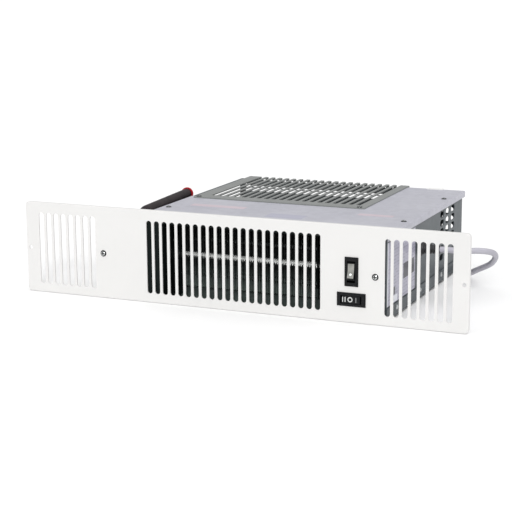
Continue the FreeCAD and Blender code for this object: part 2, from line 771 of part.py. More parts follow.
def hose_plug(name):
    """A transit plug pushed into the free end of a hose, with a rim left outside."""
    points = hose_points(name)
    end = V(*points[-1])
    heading = (end - V(*points[-2])).normalize()
    stem = Part.makeCylinder(HOSE_D / 2 - HOSE_WALL, PLUG_L, end - heading * PLUG_L, heading)
    rim = Part.makeCylinder(PLUG_RIM_D / 2, PLUG_RIM, end, heading)
    edge = [e for e in rim.Edges if (e.CenterOfMass - (end + heading * PLUG_RIM)).Length < 1e-6]
    return union([stem, rim.makeFillet(PLUG_RIM * 0.4, edge)])


# ---------------------------------------------------------------- fan and motor
def blade_tool(length):
    """One bowed blade at the top of the wheel, along X from the origin."""
    r_out = fan_r_out - BLADE_RIM
    r_in = r_out - BLADE_DEPTH
    half = BLADE_DEPTH / 2
    sag = BLADE_BOW_R - math.sqrt(BLADE_BOW_R ** 2 - half ** 2)
    a, m, b = V(0, 0, -half), V(0, sag, 0), V(0, 0, half)
    arc = Part.Arc(a, m, b).toShape()
    a2, m2, b2 = a + V(0, BLADE_T, 0), m + V(0, BLADE_T, 0), b + V(0, BLADE_T, 0)
    arc2 = Part.Arc(a2, m2, b2).toShape()
    wire = Part.Wire([arc, Part.makeLine(b, b2), arc2, Part.makeLine(a2, a)])
    blade = Part.Face(wire).extrude(V(length, 0, 0))
    blade.rotate(V(0, 0, 0), V(1, 0, 0), BLADE_TILT)
    blade.translate(V(0, 0, (r_out + r_in) / 2))
    return blade


def impeller_blades():
    blade = blade_tool(fan_r - fan_l)
    shapes = []
    for i in range(BLADE_COUNT):
        turned = blade.copy()
        turned.rotate(V(0, 0, 0), V(1, 0, 0), 360.0 * i / BLADE_COUNT)
        shapes.append(turned.translated(V(fan_l, FAN_Y, FAN_Z)))
    return shapes


def impeller_discs():
    blades = Part.makeCompound(impeller_blades())
    shapes = []
    for i in range(DISC_COUNT):
        x = fan_l + (fan_r - fan_l - DISC_T) * i / (DISC_COUNT - 1)
        disc = cyl(FAN_D, DISC_T, (x, FAN_Y, FAN_Z), (1, 0, 0))
        inner = i not in (0, DISC_COUNT - 1)
        bore = FAN_D - 2 * BLADE_DEPTH - 6 if inner else SHAFT_D
        ring = disc.cut(cyl(bore, DISC_T + 2, (x - 1, FAN_Y, FAN_Z), (1, 0, 0)))
        shapes.append(ring.cut(blades))
    return shapes


def fan_shaft():
    return cyl(SHAFT_D, duct_r + 6 - (core_l - 4), (core_l - 4, FAN_Y, FAN_Z), (1, 0, 0))


def bearing():
    """A sintered bush held in a rubber ring in the right-hand partition."""
    x = duct_r - SHEET / 2
    rubber = cyl(HUB_D + 10, 8, (x - 4, FAN_Y, FAN_Z), (1, 0, 0))
    groove = cyl(HUB_D + 11, SHEET, (x - SHEET / 2, FAN_Y, FAN_Z), (1, 0, 0))
    neck = cyl(HUB_D + 6, SHEET, (x - SHEET / 2, FAN_Y, FAN_Z), (1, 0, 0))
    seat = cyl(HUB_D, 10, (x - 5, FAN_Y, FAN_Z), (1, 0, 0))
    rubber = rubber.cut(groove.cut(neck)).cut(seat)
    bush = cyl(HUB_D, 9, (x - 4.5, FAN_Y, FAN_Z), (1, 0, 0))
    return rubber, bush.cut(cyl(SHAFT_D + 2 * SHAFT_FIT, 11, (x - 5.5, FAN_Y, FAN_Z), (1, 0, 0)))


def motor_screw_places():
    y = CORE_W / 2 - 6
    return [(FAN_Y - y, FAN_Z + CORE_TOP - 5), (FAN_Y + y, FAN_Z + CORE_TOP - 5)]


def motor_core():
    z0 = FAN_Z - CORE_BOTTOM
    stack = box(core_l, core_r, FAN_Y - CORE_W / 2, FAN_Y + CORE_W / 2, z0, FAN_Z + CORE_TOP)
    window = box(core_l - 1, core_r + 1, FAN_Y - WINDOW_W / 2, FAN_Y + WINDOW_W / 2,
                 z0 + YOKE_W, z0 + YOKE_W + WINDOW_H)
    tools = [window, cyl(ROTOR_D + 2 * AIR_GAP, CORE_T + 2, (core_l - 1, FAN_Y, FAN_Z), (1, 0, 0))]
    for y, z in motor_screw_places():
        tools.append(cyl(MOTOR_SCREW_D, CORE_T + 2, (core_l - 1, y, z), (1, 0, 0)))
    return cut_all(stack, tools)


def motor_coil():
    z0 = FAN_Z - CORE_BOTTOM
    room = min(COIL_T, core_l - (body_l + SHEET) - 0.5)
    low = max(floor_z + 0.5, z0 - COIL_T)
    outer = box(core_l - room, core_r + room, FAN_Y - WINDOW_W / 2 + 1, FAN_Y + WINDOW_W / 2 - 1,
                low, z0 + YOKE_W + WINDOW_H - 2)
    upright = [e for e in outer.Edges if abs(e.Vertexes[0].Z - e.Vertexes[-1].Z) < 1e-6
               and abs(e.Vertexes[0].X - e.Vertexes[-1].X) < 1e-6]
    outer = outer.makeFillet(min(room, 3.0), upright)
    return outer.cut(box(core_l, core_r, FAN_Y - CORE_W, FAN_Y + CORE_W, z0, z0 + YOKE_W))


def motor_rotor():
    rotor = cyl(ROTOR_D, CORE_T, (core_l, FAN_Y, FAN_Z), (1, 0, 0))
    return rotor.cut(cyl(SHAFT_D, CORE_T + 2, (core_l - 1, FAN_Y, FAN_Z), (1, 0, 0)))


def motor_bridges():
    shapes = []
    y, z = motor_screw_places()[1]
    for x in (core_l - BRIDGE_T - 1.0, core_r + 1.0):
        bar = box(x, x + BRIDGE_T, FAN_Y - CORE_W / 2, FAN_Y + CORE_W / 2, z - 4, z + 4)
        stem = box(x, x + BRIDGE_T, FAN_Y - BRIDGE_H / 2, FAN_Y + BRIDGE_H / 2, FAN_Z, z)
        hub = cyl(BRIDGE_H, BRIDGE_T, (x, FAN_Y, FAN_Z), (1, 0, 0))
        tools = [cyl(SHAFT_D + 2 * SHAFT_FIT, BRIDGE_T + 2, (x - 1, FAN_Y, FAN_Z), (1, 0, 0))]
        tools += [cyl(MOTOR_SCREW_D, BRIDGE_T + 2, (x - 1, ys, zs), (1, 0, 0)) for ys, zs in motor_screw_places()]
        shapes.append(cut_all(union([bar, stem, hub]), tools))
    return shapes


def motor_screws():
    """Long screws that clamp bridges and core, with sleeves up to the partition."""
    shapes = []
    head_x = core_l - BRIDGE_T - 1.0
    for y, z in motor_screw_places():
        shank_l = duct_l - head_x
        shapes.append(pan_screw((head_x, y, z), (-1, 0, 0), MOTOR_SCREW_D, shank_l, 7.0, 2.0))
    return shapes


def motor_sleeves():
    shapes = []
    for y, z in motor_screw_places():
        x0 = core_r + 1.0 + BRIDGE_T
        tube = cyl(8.0, duct_l - x0, (x0, y, z), (1, 0, 0))
        shapes.append(tube.cut(cyl(MOTOR_SCREW_D, duct_l - x0, (x0, y, z), (1, 0, 0))))
    return shapes


# ---------------------------------------------------------------- rocker switches
def upright_switch_frame(wide, high):
    """Housing of a rocker switch about its own centre, rocker swinging about X."""
    low = BEZEL_PROUD - BEZEL_STEP
    bezel = box(-wide / 2, wide / 2, -low, 0, -high / 2, high / 2)
    edges = [e for e in bezel.Edges if e.CenterOfMass.y < -low + 1e-6]
    step = BEZEL_STEP_W
    ridge = box(-wide / 2 + step, wide / 2 - step, -BEZEL_PROUD, -low, -high / 2 + step, high / 2 - step)
    bezel = union([bezel.makeFillet(BEZEL_STEP, edges), ridge])
    inset = BODY_INSET
    body = box(-wide / 2 + inset, wide / 2 - inset, 0, SWITCH_DEPTH, -high / 2 + inset, high / 2 - inset)
    mouth = box(-wide / 2 + BEZEL_RIM, wide / 2 - BEZEL_RIM, -BEZEL_PROUD - 1, SWITCH_DEPTH * 0.6,
                -high / 2 + BEZEL_END, high / 2 - BEZEL_END)
    pivot = cyl(PIVOT_D + 2 * SHAFT_FIT, wide - 2 * BODY_INSET - 0.6,
                (-wide / 2 + BODY_INSET + 0.3, PIVOT_DEPTH, 0), (1, 0, 0))
    return union([bezel, body]).cut(mouth).cut(pivot)


def rocker_tip(high, swing, proud):
    """(y, z) of a rocker's tip at its middle position; the end is an arc about the pivot."""
    r = high / 2 - BEZEL_END - ROCKER_GAP
    angle = math.radians(swing) + math.acos((BEZEL_PROUD + proud + PIVOT_DEPTH) / r)
    return PIVOT_DEPTH - r * math.cos(angle), r * math.sin(angle)


def upright_rocker(wide, high, swing, proud):
    """A rocker at its middle position; its two halves slope back to a shallow valley."""
    half_w = wide / 2 - BEZEL_RIM - ROCKER_GAP
    r = high / 2 - BEZEL_END - ROCKER_GAP
    tip_y, tip_z = rocker_tip(high, swing, proud)
    valley_y = tip_y + tip_z * math.tan(math.radians(swing * 0.55))
    side_y = PIVOT_DEPTH - 1.0
    side_z = math.sqrt(r * r - 1.0)
    mid = math.radians((math.degrees(math.asin(tip_z / r)) + 90) / 2)
    skirt = PIVOT_DEPTH + 1.6
    edges = []
    for s in (1, -1):
        tip = V(-half_w, tip_y, s * tip_z)
        bulge = V(-half_w, PIVOT_DEPTH - r * math.cos(mid), s * r * math.sin(mid))
        side = V(-half_w, side_y, s * side_z)
        heel = V(-half_w, skirt, s * r * 0.35)
        edges.append(Part.makeLine(V(-half_w, valley_y, 0), tip))
        edges.append(Part.Arc(tip, bulge, side).toShape())
        edges.append(Part.makeLine(side, heel))
    edges.append(Part.makeLine(V(-half_w, skirt, r * 0.35), V(-half_w, skirt, -r * 0.35)))
    wire = Part.Wire(Part.__sortEdges__(edges))
    body = Part.Face(wire).extrude(V(2 * half_w, 0, 0))
    ridges = [e for e in body.Edges if abs(e.CenterOfMass.y - tip_y) < 1e-6
              and abs(abs(e.CenterOfMass.z) - tip_z) < 1e-6]
    body = body.makeFillet(0.3, ridges)
    pin = cyl(PIVOT_D, 2 * half_w + 1.4, (-half_w - 0.7, PIVOT_DEPTH, 0), (1, 0, 0))
    return union([body, pin])


def seat_switch(shape, x, z, angle, sideways):
    """Swing about the pivot, turn it on its side if wanted, and move it to its cut-out."""
    placed = shape.copy()
    placed.rotate(V(0, PIVOT_DEPTH, 0), V(1, 0, 0), angle)
    if sideways:
        placed.rotate(V(0, 0, 0), V(0, 1, 0), 90)
    return placed.translated(V(x, 0, z))


def lens_tool(d, depth, swing):
    """The round pilot lens in the lower half of the upper rocker."""
    tip_y, tip_z = rocker_tip(UPPER_H, swing, UPPER_TIP)
    slope = math.radians(swing * 0.55)
    valley_y = tip_y + tip_z * math.tan(slope)
    face_y = valley_y - LENS_OFFSET * math.tan(slope)
    out = V(0, -math.cos(slope), -math.sin(slope))
    at = V(0, face_y, -LENS_OFFSET)
    return Part.makeCylinder(d / 2, depth + 0.3, at - out * depth, out)


def blade_terminals():
    shapes = []
    half = BLADE_TERM_W / 2
    for step in (-8, 0, 8):
        upper = UPPER_Z + step
        shapes.append(box(SWITCH_X - half, SWITCH_X + half, SWITCH_DEPTH, SWITCH_DEPTH + BLADE_TERM_L,
                          upper - BLADE_TERM_T / 2, upper + BLADE_TERM_T / 2))
        lower = SWITCH_X + step
        shapes.append(box(lower - BLADE_TERM_T / 2, lower + BLADE_TERM_T / 2, SWITCH_DEPTH,
                          SWITCH_DEPTH + BLADE_TERM_L, LOWER_Z - half, LOWER_Z + half))
    return shapes


# ---------------------------------------------------------------- wiring bay
def terminal_block():
    x0 = bay_x - TERM_W / 2
    block = box(x0, x0 + TERM_W, TERM_Y, TERM_Y + TERM_D, floor_z, floor_z + TERM_H)
    tools = []
    way = TERM_W / TERM_WAYS
    for i in range(TERM_WAYS):
        x = x0 + way * (i + 0.5)
        tools.append(cyl(4.0, TERM_D + 2, (x, TERM_Y - 1, floor_z + 6), (0, 1, 0)))
        for y in (TERM_Y + 4.5, TERM_Y + TERM_D - 4.5):
            tools.append(cyl(4.6, TERM_H, (x, y, floor_z + 9), (0, 0, 1)))
    return cut_all(block, tools)


def terminal_screws():
    x0 = bay_x - TERM_W / 2
    way = TERM_W / TERM_WAYS
    shapes = []
    for i in range(TERM_WAYS):
        for y in (TERM_Y + 4.5, TERM_Y + TERM_D - 4.5):
            shank = cyl(4.2, 4.0, (x0 + way * (i + 0.5), y, floor_z + 9), (0, 0, 1))
            slot = box(x0 + way * (i + 0.5) - 3, x0 + way * (i + 0.5) + 3, y - 0.4, y + 0.4,
                       floor_z + 12, floor_z + 14)
            shapes.append(shank.cut(slot))
    return shapes


def cable_clamp():
    """A saddle on a post that grips the sheath just inside the wall."""
    x1 = body_r - SHEET - CLAMP_GAP
    x0 = x1 - 10
    post = box(x0, x1, CABLE_Y - 9, CABLE_Y + 9, floor_z, CABLE_Z + 6)
    grip = cyl(CABLE_D, 12, (x0 - 1, CABLE_Y, CABLE_Z), (1, 0, 0))
    relief = box(x0 - 1, x1 + 1, CABLE_Y - 5.5, CABLE_Y + 5.5, floor_z + 2, CABLE_Z - 9)
    return cut_all(post, [grip, relief])


def earth_stud():
    x = bay_x - 12
    stud = cyl(4.0, 16.0, (x, EARTH_Y, floor_z), (0, 0, 1))
    nuts = []
    for z in (floor_z, floor_z + 7):
        hexagon = [V(x + 4.0 * math.cos(math.radians(60 * k)), EARTH_Y + 4.0 * math.sin(math.radians(60 * k)), z)
                   for k in range(7)]
        nuts.append(Part.Face(Part.makePolygon(hexagon)).extrude(V(0, 0, 3.2)))
    return union([stud] + nuts)


def wires():
    """Single insulated cores between the switches, the terminals and the motor."""
    top = floor_z + TERM_H
    x0 = bay_x - TERM_W / 2
    way = TERM_W / TERM_WAYS
    back = SWITCH_DEPTH + BLADE_TERM_L
    routes = []
    for i, step in enumerate((-8, 0, 8)):
        start = (SWITCH_X, back, UPPER_Z + step)
        end = (x0 + way * (i + 0.5), TERM_Y, floor_z + 6)
        routes.append([start, (SWITCH_X, back + 14, UPPER_Z + step),
                       (end[0], TERM_Y - 14, end[2]), end])
    for step in (-8, 8):
        start = (SWITCH_X + step, back, LOWER_Z)
        end = (duct_r + 8, 90 + step, top + 8)
        routes.append([start, (SWITCH_X + step, back + 9, LOWER_Z), (duct_r + 9, 70, LOWER_Z + 9), end])
    core_x = body_r - SHEET - CLAMP_GAP - 10
    for i in range(TERM_WAYS):
        end = (x0 + way * (i + 0.5), TERM_Y + TERM_D, floor_z + 6)
        spread = (i - 1) * 2.4
        routes.append([(core_x - 1.2, CABLE_Y + spread, CABLE_Z), (core_x - 9, CABLE_Y + spread, CABLE_Z - 8),
                       (end[0], end[1] + 16, end[2] + 5), end])
    return [rod(points, WIRE_D, 3.0) for points in routes]


# ---------------------------------------------------------------- supply cable
def strain_relief():
    x0 = body_r
    collar = cyl(RELIEF_COLLAR, 2.5, (x0, CABLE_Y, CABLE_Z), (1, 0, 0))
    boot = Part.makeCone(RELIEF_D0 / 2, RELIEF_D1 / 2, RELIEF_L - 2.5, V(x0 + 2.5, CABLE_Y, CABLE_Z), V(1, 0, 0))
    neck = cyl(RELIEF_D0 - 2.4, SHEET + 3, (x0 - SHEET - 3, CABLE_Y, CABLE_Z), (1, 0, 0))
    inner = cyl(RELIEF_COLLAR - 3, 3, (x0 - SHEET - 3, CABLE_Y, CABLE_Z), (1, 0, 0))
    bore = cyl(CABLE_D, RELIEF_L + 10, (x0 - 6, CABLE_Y, CABLE_Z), (1, 0, 0))
    return union([collar, boot, neck, inner]).cut(bore)


def cable_inner():
    """The stretch of sheath inside the relief and the clamp."""
    x0 = body_r - SHEET - CLAMP_GAP - 10
    return cyl(CABLE_D, body_r + RELIEF_L - x0, (x0, CABLE_Y, CABLE_Z), (1, 0, 0))


cable_floor = CABLE_D / 2
# Corners of the free cable: X outwards from the case wall, then Y and Z
CABLE_CORNERS = [
    (47.0, CABLE_Y, CABLE_Z),
    (63.5, 131.5, CABLE_Z + 0.3),
    (74.5, 158.0, 49.0),
    (65.0, 179.5, 32.5),
    (44.0, 193.0, 21.0),
    (28.0, 221.0, 9.5),
    (16.0, 252.0, cable_floor),
    (5.9, 290.0, cable_floor),
    (-14.3, 336.8, cable_floor),
]
CABLE_ROUTE = [(body_r + RELIEF_L, CABLE_Y, CABLE_Z)]
CABLE_ROUTE += [(body_r + x, y, z) for x, y, z in CABLE_CORNERS]


def coil_centre():
    """The coil lies so that the cable runs into its outer turn along the tangent."""
    last = V(*CABLE_ROUTE[-1])
    heading = (last - V(*CABLE_ROUTE[-2])).normalize()
    touch = last + heading * COIL_LEAD
    return touch + V(-heading.y, heading.x, 0) * COIL_OUTER_R


def coil_leave():
    """Where the upper outer turn leaves the coil, and its heading there."""
    angle = math.radians(COIL_LEAVE_ANGLE)
    out = V(math.cos(angle), math.sin(angle), 0)
    at = coil_centre() + out * COIL_OUTER_R + V(0, 0, CABLE_LAP)
    return at, V(-out.y, out.x, 0)


def tail_points():
    at, heading = coil_leave()
    start = at + heading * COIL_LEAD
    side = V(-heading.y, heading.x, 0)
    drop = V(0, 0, -CABLE_LAP)
    run = CABLE_TAIL / 3
    knee = start + heading * run
    low = knee + heading * run + drop * 0.8
    end = low + heading * run + side * 5.0 + drop * 0.2
    return [start, knee, low, end]


def cable_tube():
    wire, length, smallest = path_wire(CABLE_ROUTE)
    solid = rod(CABLE_ROUTE, CABLE_D)
    section = math.pi * CABLE_D ** 2 / 4
    print("cable run %.1f mm, smallest bend %.1f mm, volume ratio %.4f"
          % (length, smallest, solid.Volume / (section * length)))
    return solid


def cable_coil():
    """The outer shape of two flat layers of turns, with its two straight leads."""
    centre = coil_centre()
    base = V(centre.x, centre.y, 0)
    high = CABLE_D + CABLE_LAP
    ring = Part.makeCylinder(COIL_OUTER_R + CABLE_D / 2, high, base)
    ring = ring.cut(Part.makeCylinder(COIL_INNER_R - CABLE_D / 2, high, base))
    rims = [e for e in ring.Edges if isinstance(e.Curve, Part.Circle)]
    ring = ring.makeFillet(CABLE_D * 0.4, rims)
    entry = V(*CABLE_ROUTE[-1])
    heading = (entry - V(*CABLE_ROUTE[-2])).normalize()
    lead_in = Part.makeCylinder(CABLE_D / 2, COIL_LEAD, entry, heading)
    at, away = coil_leave()
    lead_out = Part.makeCylinder(CABLE_D / 2, COIL_LEAD, at, away)
    print("coil centre %.1f, %.1f mm; mid-turn diameter %.1f mm"
          % (centre.x, centre.y, COIL_OUTER_R + COIL_INNER_R))
    return union([ring, lead_in, lead_out])


def cable_tail():
    return rod([tuple(p) for p in tail_points()], CABLE_D)


def core_ends():
    """Three stripped cores that fan out of the sheath, each with a crimped ferrule."""
    points = tail_points()
    end = points[-1]
    heading = (end - points[-2]).normalize()
    side = V(-heading.y, heading.x, 0).normalize()
    up = heading.cross(side)
    shapes = []
    for i in (-1, 0, 1):
        lift = CORE_D * (0.6 if i == 0 else -0.3)
        start = end + side * (i * CORE_D * 0.53) + up * lift
        knee = start + heading * (CORE_L * 0.3)
        tip = knee + heading * (CORE_L * 0.7) + side * (i * CORE_SPREAD / 2)
        tip = V(tip.x, tip.y, CORE_D / 2 + 0.4)
        along = (tip - knee).normalize()
        core = rod([tuple(start), tuple(knee), tuple(tip)], CORE_D)
        pin = Part.makeCylinder(FERRULE_D / 2, FERRULE_L, tip, along)
        shapes.append(union([core, pin]))
    return shapes


def build():
    add("front_grille", front_grille())
    add("grille_screws", *[pan_screw((x, 0, SLOT_RISE), (0, -1, 0), GRILLE_SCREW_D, GRILLE_SCREW_L)
                           for x in (-GRILLE_SCREW_X, GRILLE_SCREW_X)])
    add("front_frame", front_frame())
    add("base_tray", base_tray())
    add("left_panel", left_panel())
    add("right_panel", right_panel())
    add("rear_panel", rear_panel())
    add("top_cover", top_cover())
    add("cover_screws", *[pan_screw((x, y, CASE_TOP), (0, 0, 1), SHEET_SCREW_D, COVER_SCREW_L,
                                    SHEET_SCREW_HEAD, SHEET_SCREW_RISE) for x, y in cover_screw_places()])
    add("inlet_guard", inlet_guard())
    add("guard_screws", *[pan_screw((x, y, CASE_TOP + GUARD_T), (0, 0, 1), SHEET_SCREW_D, GUARD_SCREW_L,
                                    SHEET_SCREW_HEAD, SHEET_SCREW_RISE) for x, y in guard_screw_places()])
    add("feet", *feet())
    add("case_rivets", *case_rivets())
    add("cover_labels", *cover_labels())
    add("data_label", data_label())
    add("edge_clip", edge_clip())
    add("left_partition", left_partition())
    add("right_partition", right_partition())
    add("duct_floor", duct_floor())
    add("fan_scroll", scroll())
    add("fan_tongue", tongue())
    add("exchanger_fins", *exchanger_fins())
    add("exchanger_end_plates", *end_plates())
    add("exchanger_hairpins", *hairpins())
    add("return_bends", *return_bends())
    add("pipe_stubs", *pipe_stubs())
    add("pipe_elbows", *elbows())
    add("flow_hose", hose("flow"))
    add("return_hose", hose("return"))
    add("flow_plug", hose_plug("flow"))
    add("return_plug", hose_plug("return"))
    add("impeller_blades", *impeller_blades())
    add("impeller_discs", *impeller_discs())
    add("fan_shaft", fan_shaft())
    rubber, bush = bearing()
    add("bearing_rubber", rubber)
    add("bearing_bush", bush)
    add("motor_core", motor_core())
    add("motor_coil", motor_coil())
    add("motor_rotor", motor_rotor())
    add("motor_bridges", *motor_bridges())
    add("motor_screws", *motor_screws())
    add("motor_sleeves", *motor_sleeves())
    add("season_switch_housing", seat_switch(upright_switch_frame(UPPER_W, UPPER_H), SWITCH_X, UPPER_Z, 0, False))
    lens_seat = lens_tool(LENS_D, 1.2, TWO_STEP_ANGLE)
    rocker = upright_rocker(UPPER_W, UPPER_H, TWO_STEP_ANGLE, UPPER_TIP).cut(lens_seat)
    add("season_rocker", seat_switch(rocker, SWITCH_X, UPPER_Z, -TWO_STEP_ANGLE, False))
    add("rocker_lens", seat_switch(lens_seat, SWITCH_X, UPPER_Z, -TWO_STEP_ANGLE, False))
    add("speed_switch_housing", seat_switch(upright_switch_frame(LOWER_H, LOWER_W), SWITCH_X, LOWER_Z, 0, True))
    speed_rocker = upright_rocker(LOWER_H, LOWER_W, THREE_STEP_ANGLE, LOWER_TIP)
    add("speed_rocker", seat_switch(speed_rocker, SWITCH_X, LOWER_Z, 0, True))
    add("switch_terminals", *blade_terminals())
    add("terminal_block", terminal_block())
    add("terminal_screws", *terminal_screws())
    add("cable_clamp", cable_clamp())
    add("earth_stud", earth_stud())
    add("internal_wires", *wires())
    add("strain_relief", strain_relief())
    add("cable_inner", cable_inner())
    add("mains_cable", cable_tube())
    add("cable_coil", cable_coil())
    add("cable_tail", cable_tail())
    add("core_ends", *core_ends())


build()
os.makedirs("parts", exist_ok=True)
for name, shape in PIECES.items():
    moved = shape.translated(V(0, -MID_DEPTH, 0))
    moved.exportStep("parts/" + name + ".step")
print(len(PIECES), "nodes")
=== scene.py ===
"""Looks of the plinth fan convector heater: finishes, small parts, supply cable and stage."""
import bpy
import bmesh
import math
from bpy.props import FloatProperty, FloatVectorProperty, IntProperty, PointerProperty
from mathutils import Matrix, Vector


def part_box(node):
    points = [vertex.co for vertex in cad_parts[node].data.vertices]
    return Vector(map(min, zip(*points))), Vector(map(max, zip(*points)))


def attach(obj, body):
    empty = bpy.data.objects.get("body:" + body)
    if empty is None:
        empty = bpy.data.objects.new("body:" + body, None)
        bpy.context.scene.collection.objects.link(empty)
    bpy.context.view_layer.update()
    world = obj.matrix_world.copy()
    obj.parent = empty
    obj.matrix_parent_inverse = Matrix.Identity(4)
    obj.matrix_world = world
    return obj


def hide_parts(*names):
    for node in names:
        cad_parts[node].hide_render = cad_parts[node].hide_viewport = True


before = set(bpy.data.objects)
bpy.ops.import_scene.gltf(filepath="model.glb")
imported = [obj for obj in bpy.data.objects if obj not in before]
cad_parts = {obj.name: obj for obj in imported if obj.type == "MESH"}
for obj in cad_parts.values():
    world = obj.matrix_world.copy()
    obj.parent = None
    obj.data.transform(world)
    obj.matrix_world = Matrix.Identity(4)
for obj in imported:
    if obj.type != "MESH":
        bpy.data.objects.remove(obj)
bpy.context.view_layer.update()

bl_info = {
    "name": "Plinth Fan Convector Heater",
    "version": (1, 0, 0),
    "blender": (4, 5, 0),
    "location": "View3D > Sidebar > Heater",
    "description": "Builds the finishes, small parts, supply cable and stage of a plinth heater",
    "category": "Object",
}

MM = 0.001
MERGE = 0.000005
SMOOTH_ANGLE = math.radians(35.0)
GRILLE_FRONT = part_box("front_grille")[0].y


def at(x, y, z):
    """A point given in mm, with Y measured from the grille's front face."""
    return Vector((x * MM, GRILLE_FRONT + y * MM, z * MM))


# ------------------------------------------------------------------ settings
class HeaterSizes(bpy.types.PropertyGroup):
    cable_d: FloatProperty(name="Cable diameter", description="Outside of the cable's sheath",
                           default=0.0065, subtype="DISTANCE", unit="LENGTH")
    coil_outer: FloatProperty(name="Coil outer radius",
                              description="Centreline of the coil's widest turn", default=0.0445,
                              subtype="DISTANCE", unit="LENGTH")
    coil_inner: FloatProperty(name="Coil inner radius",
                              description="Centreline of the coil's tightest turn", default=0.028,
                              subtype="DISTANCE", unit="LENGTH")
    coil_lap: FloatProperty(name="Coil lap", description="Distance from one turn to the next",
                            default=0.0066, subtype="DISTANCE", unit="LENGTH")
    coil_lead: FloatProperty(name="Coil lead",
                             description="Straight stretch before and after the coil",
                             default=0.026, subtype="DISTANCE", unit="LENGTH")
    tail: FloatProperty(name="Cable tail", description="Cable from the coil to its stripped cores",
                        default=0.062, subtype="DISTANCE", unit="LENGTH")
    boot_ribs: IntProperty(name="Boot ribs", description="Ribs along the strain relief", default=5,
                           min=2)


class HeaterColours(bpy.types.PropertyGroup):
    grille: FloatVectorProperty(name="Grille", description="Powder coat on the grille",
                                subtype="COLOR", size=3, default=(0.69, 0.685, 0.675))
    sheet: FloatVectorProperty(name="Sheet", description="Galvanised sheet of the case",
                               subtype="COLOR", size=3, default=(0.52, 0.52, 0.57))
    # Painted shade: the tray and the panels are the same galvanised sheet as the cover, made darker
    # for the shade on the side wall and inside the case.
    side: FloatVectorProperty(name="Side", description="Darker sheet of the tray and the panels",
                              subtype="COLOR", size=3, default=(0.085, 0.1, 0.108))
    guard: FloatVectorProperty(name="Guard", description="Inlet guard", subtype="COLOR",
                               size=3, default=(0.2, 0.21, 0.205))
    duct: FloatVectorProperty(name="Duct", description="Black paint in the air path",
                              subtype="COLOR", size=3, default=(0.005, 0.008, 0.0075))
    cable: FloatVectorProperty(name="Cable", description="Sheath of the supply cable",
                               subtype="COLOR", size=3, default=(0.4, 0.39, 0.44))
    plug: FloatVectorProperty(name="Flow plug", description="Transit plug in the flow hose",
                              subtype="COLOR", size=3, default=(0.45, 0.004, 0.012))


def sizes():
    return bpy.context.scene.heater_sizes


def colours():
    return bpy.context.scene.heater_colours


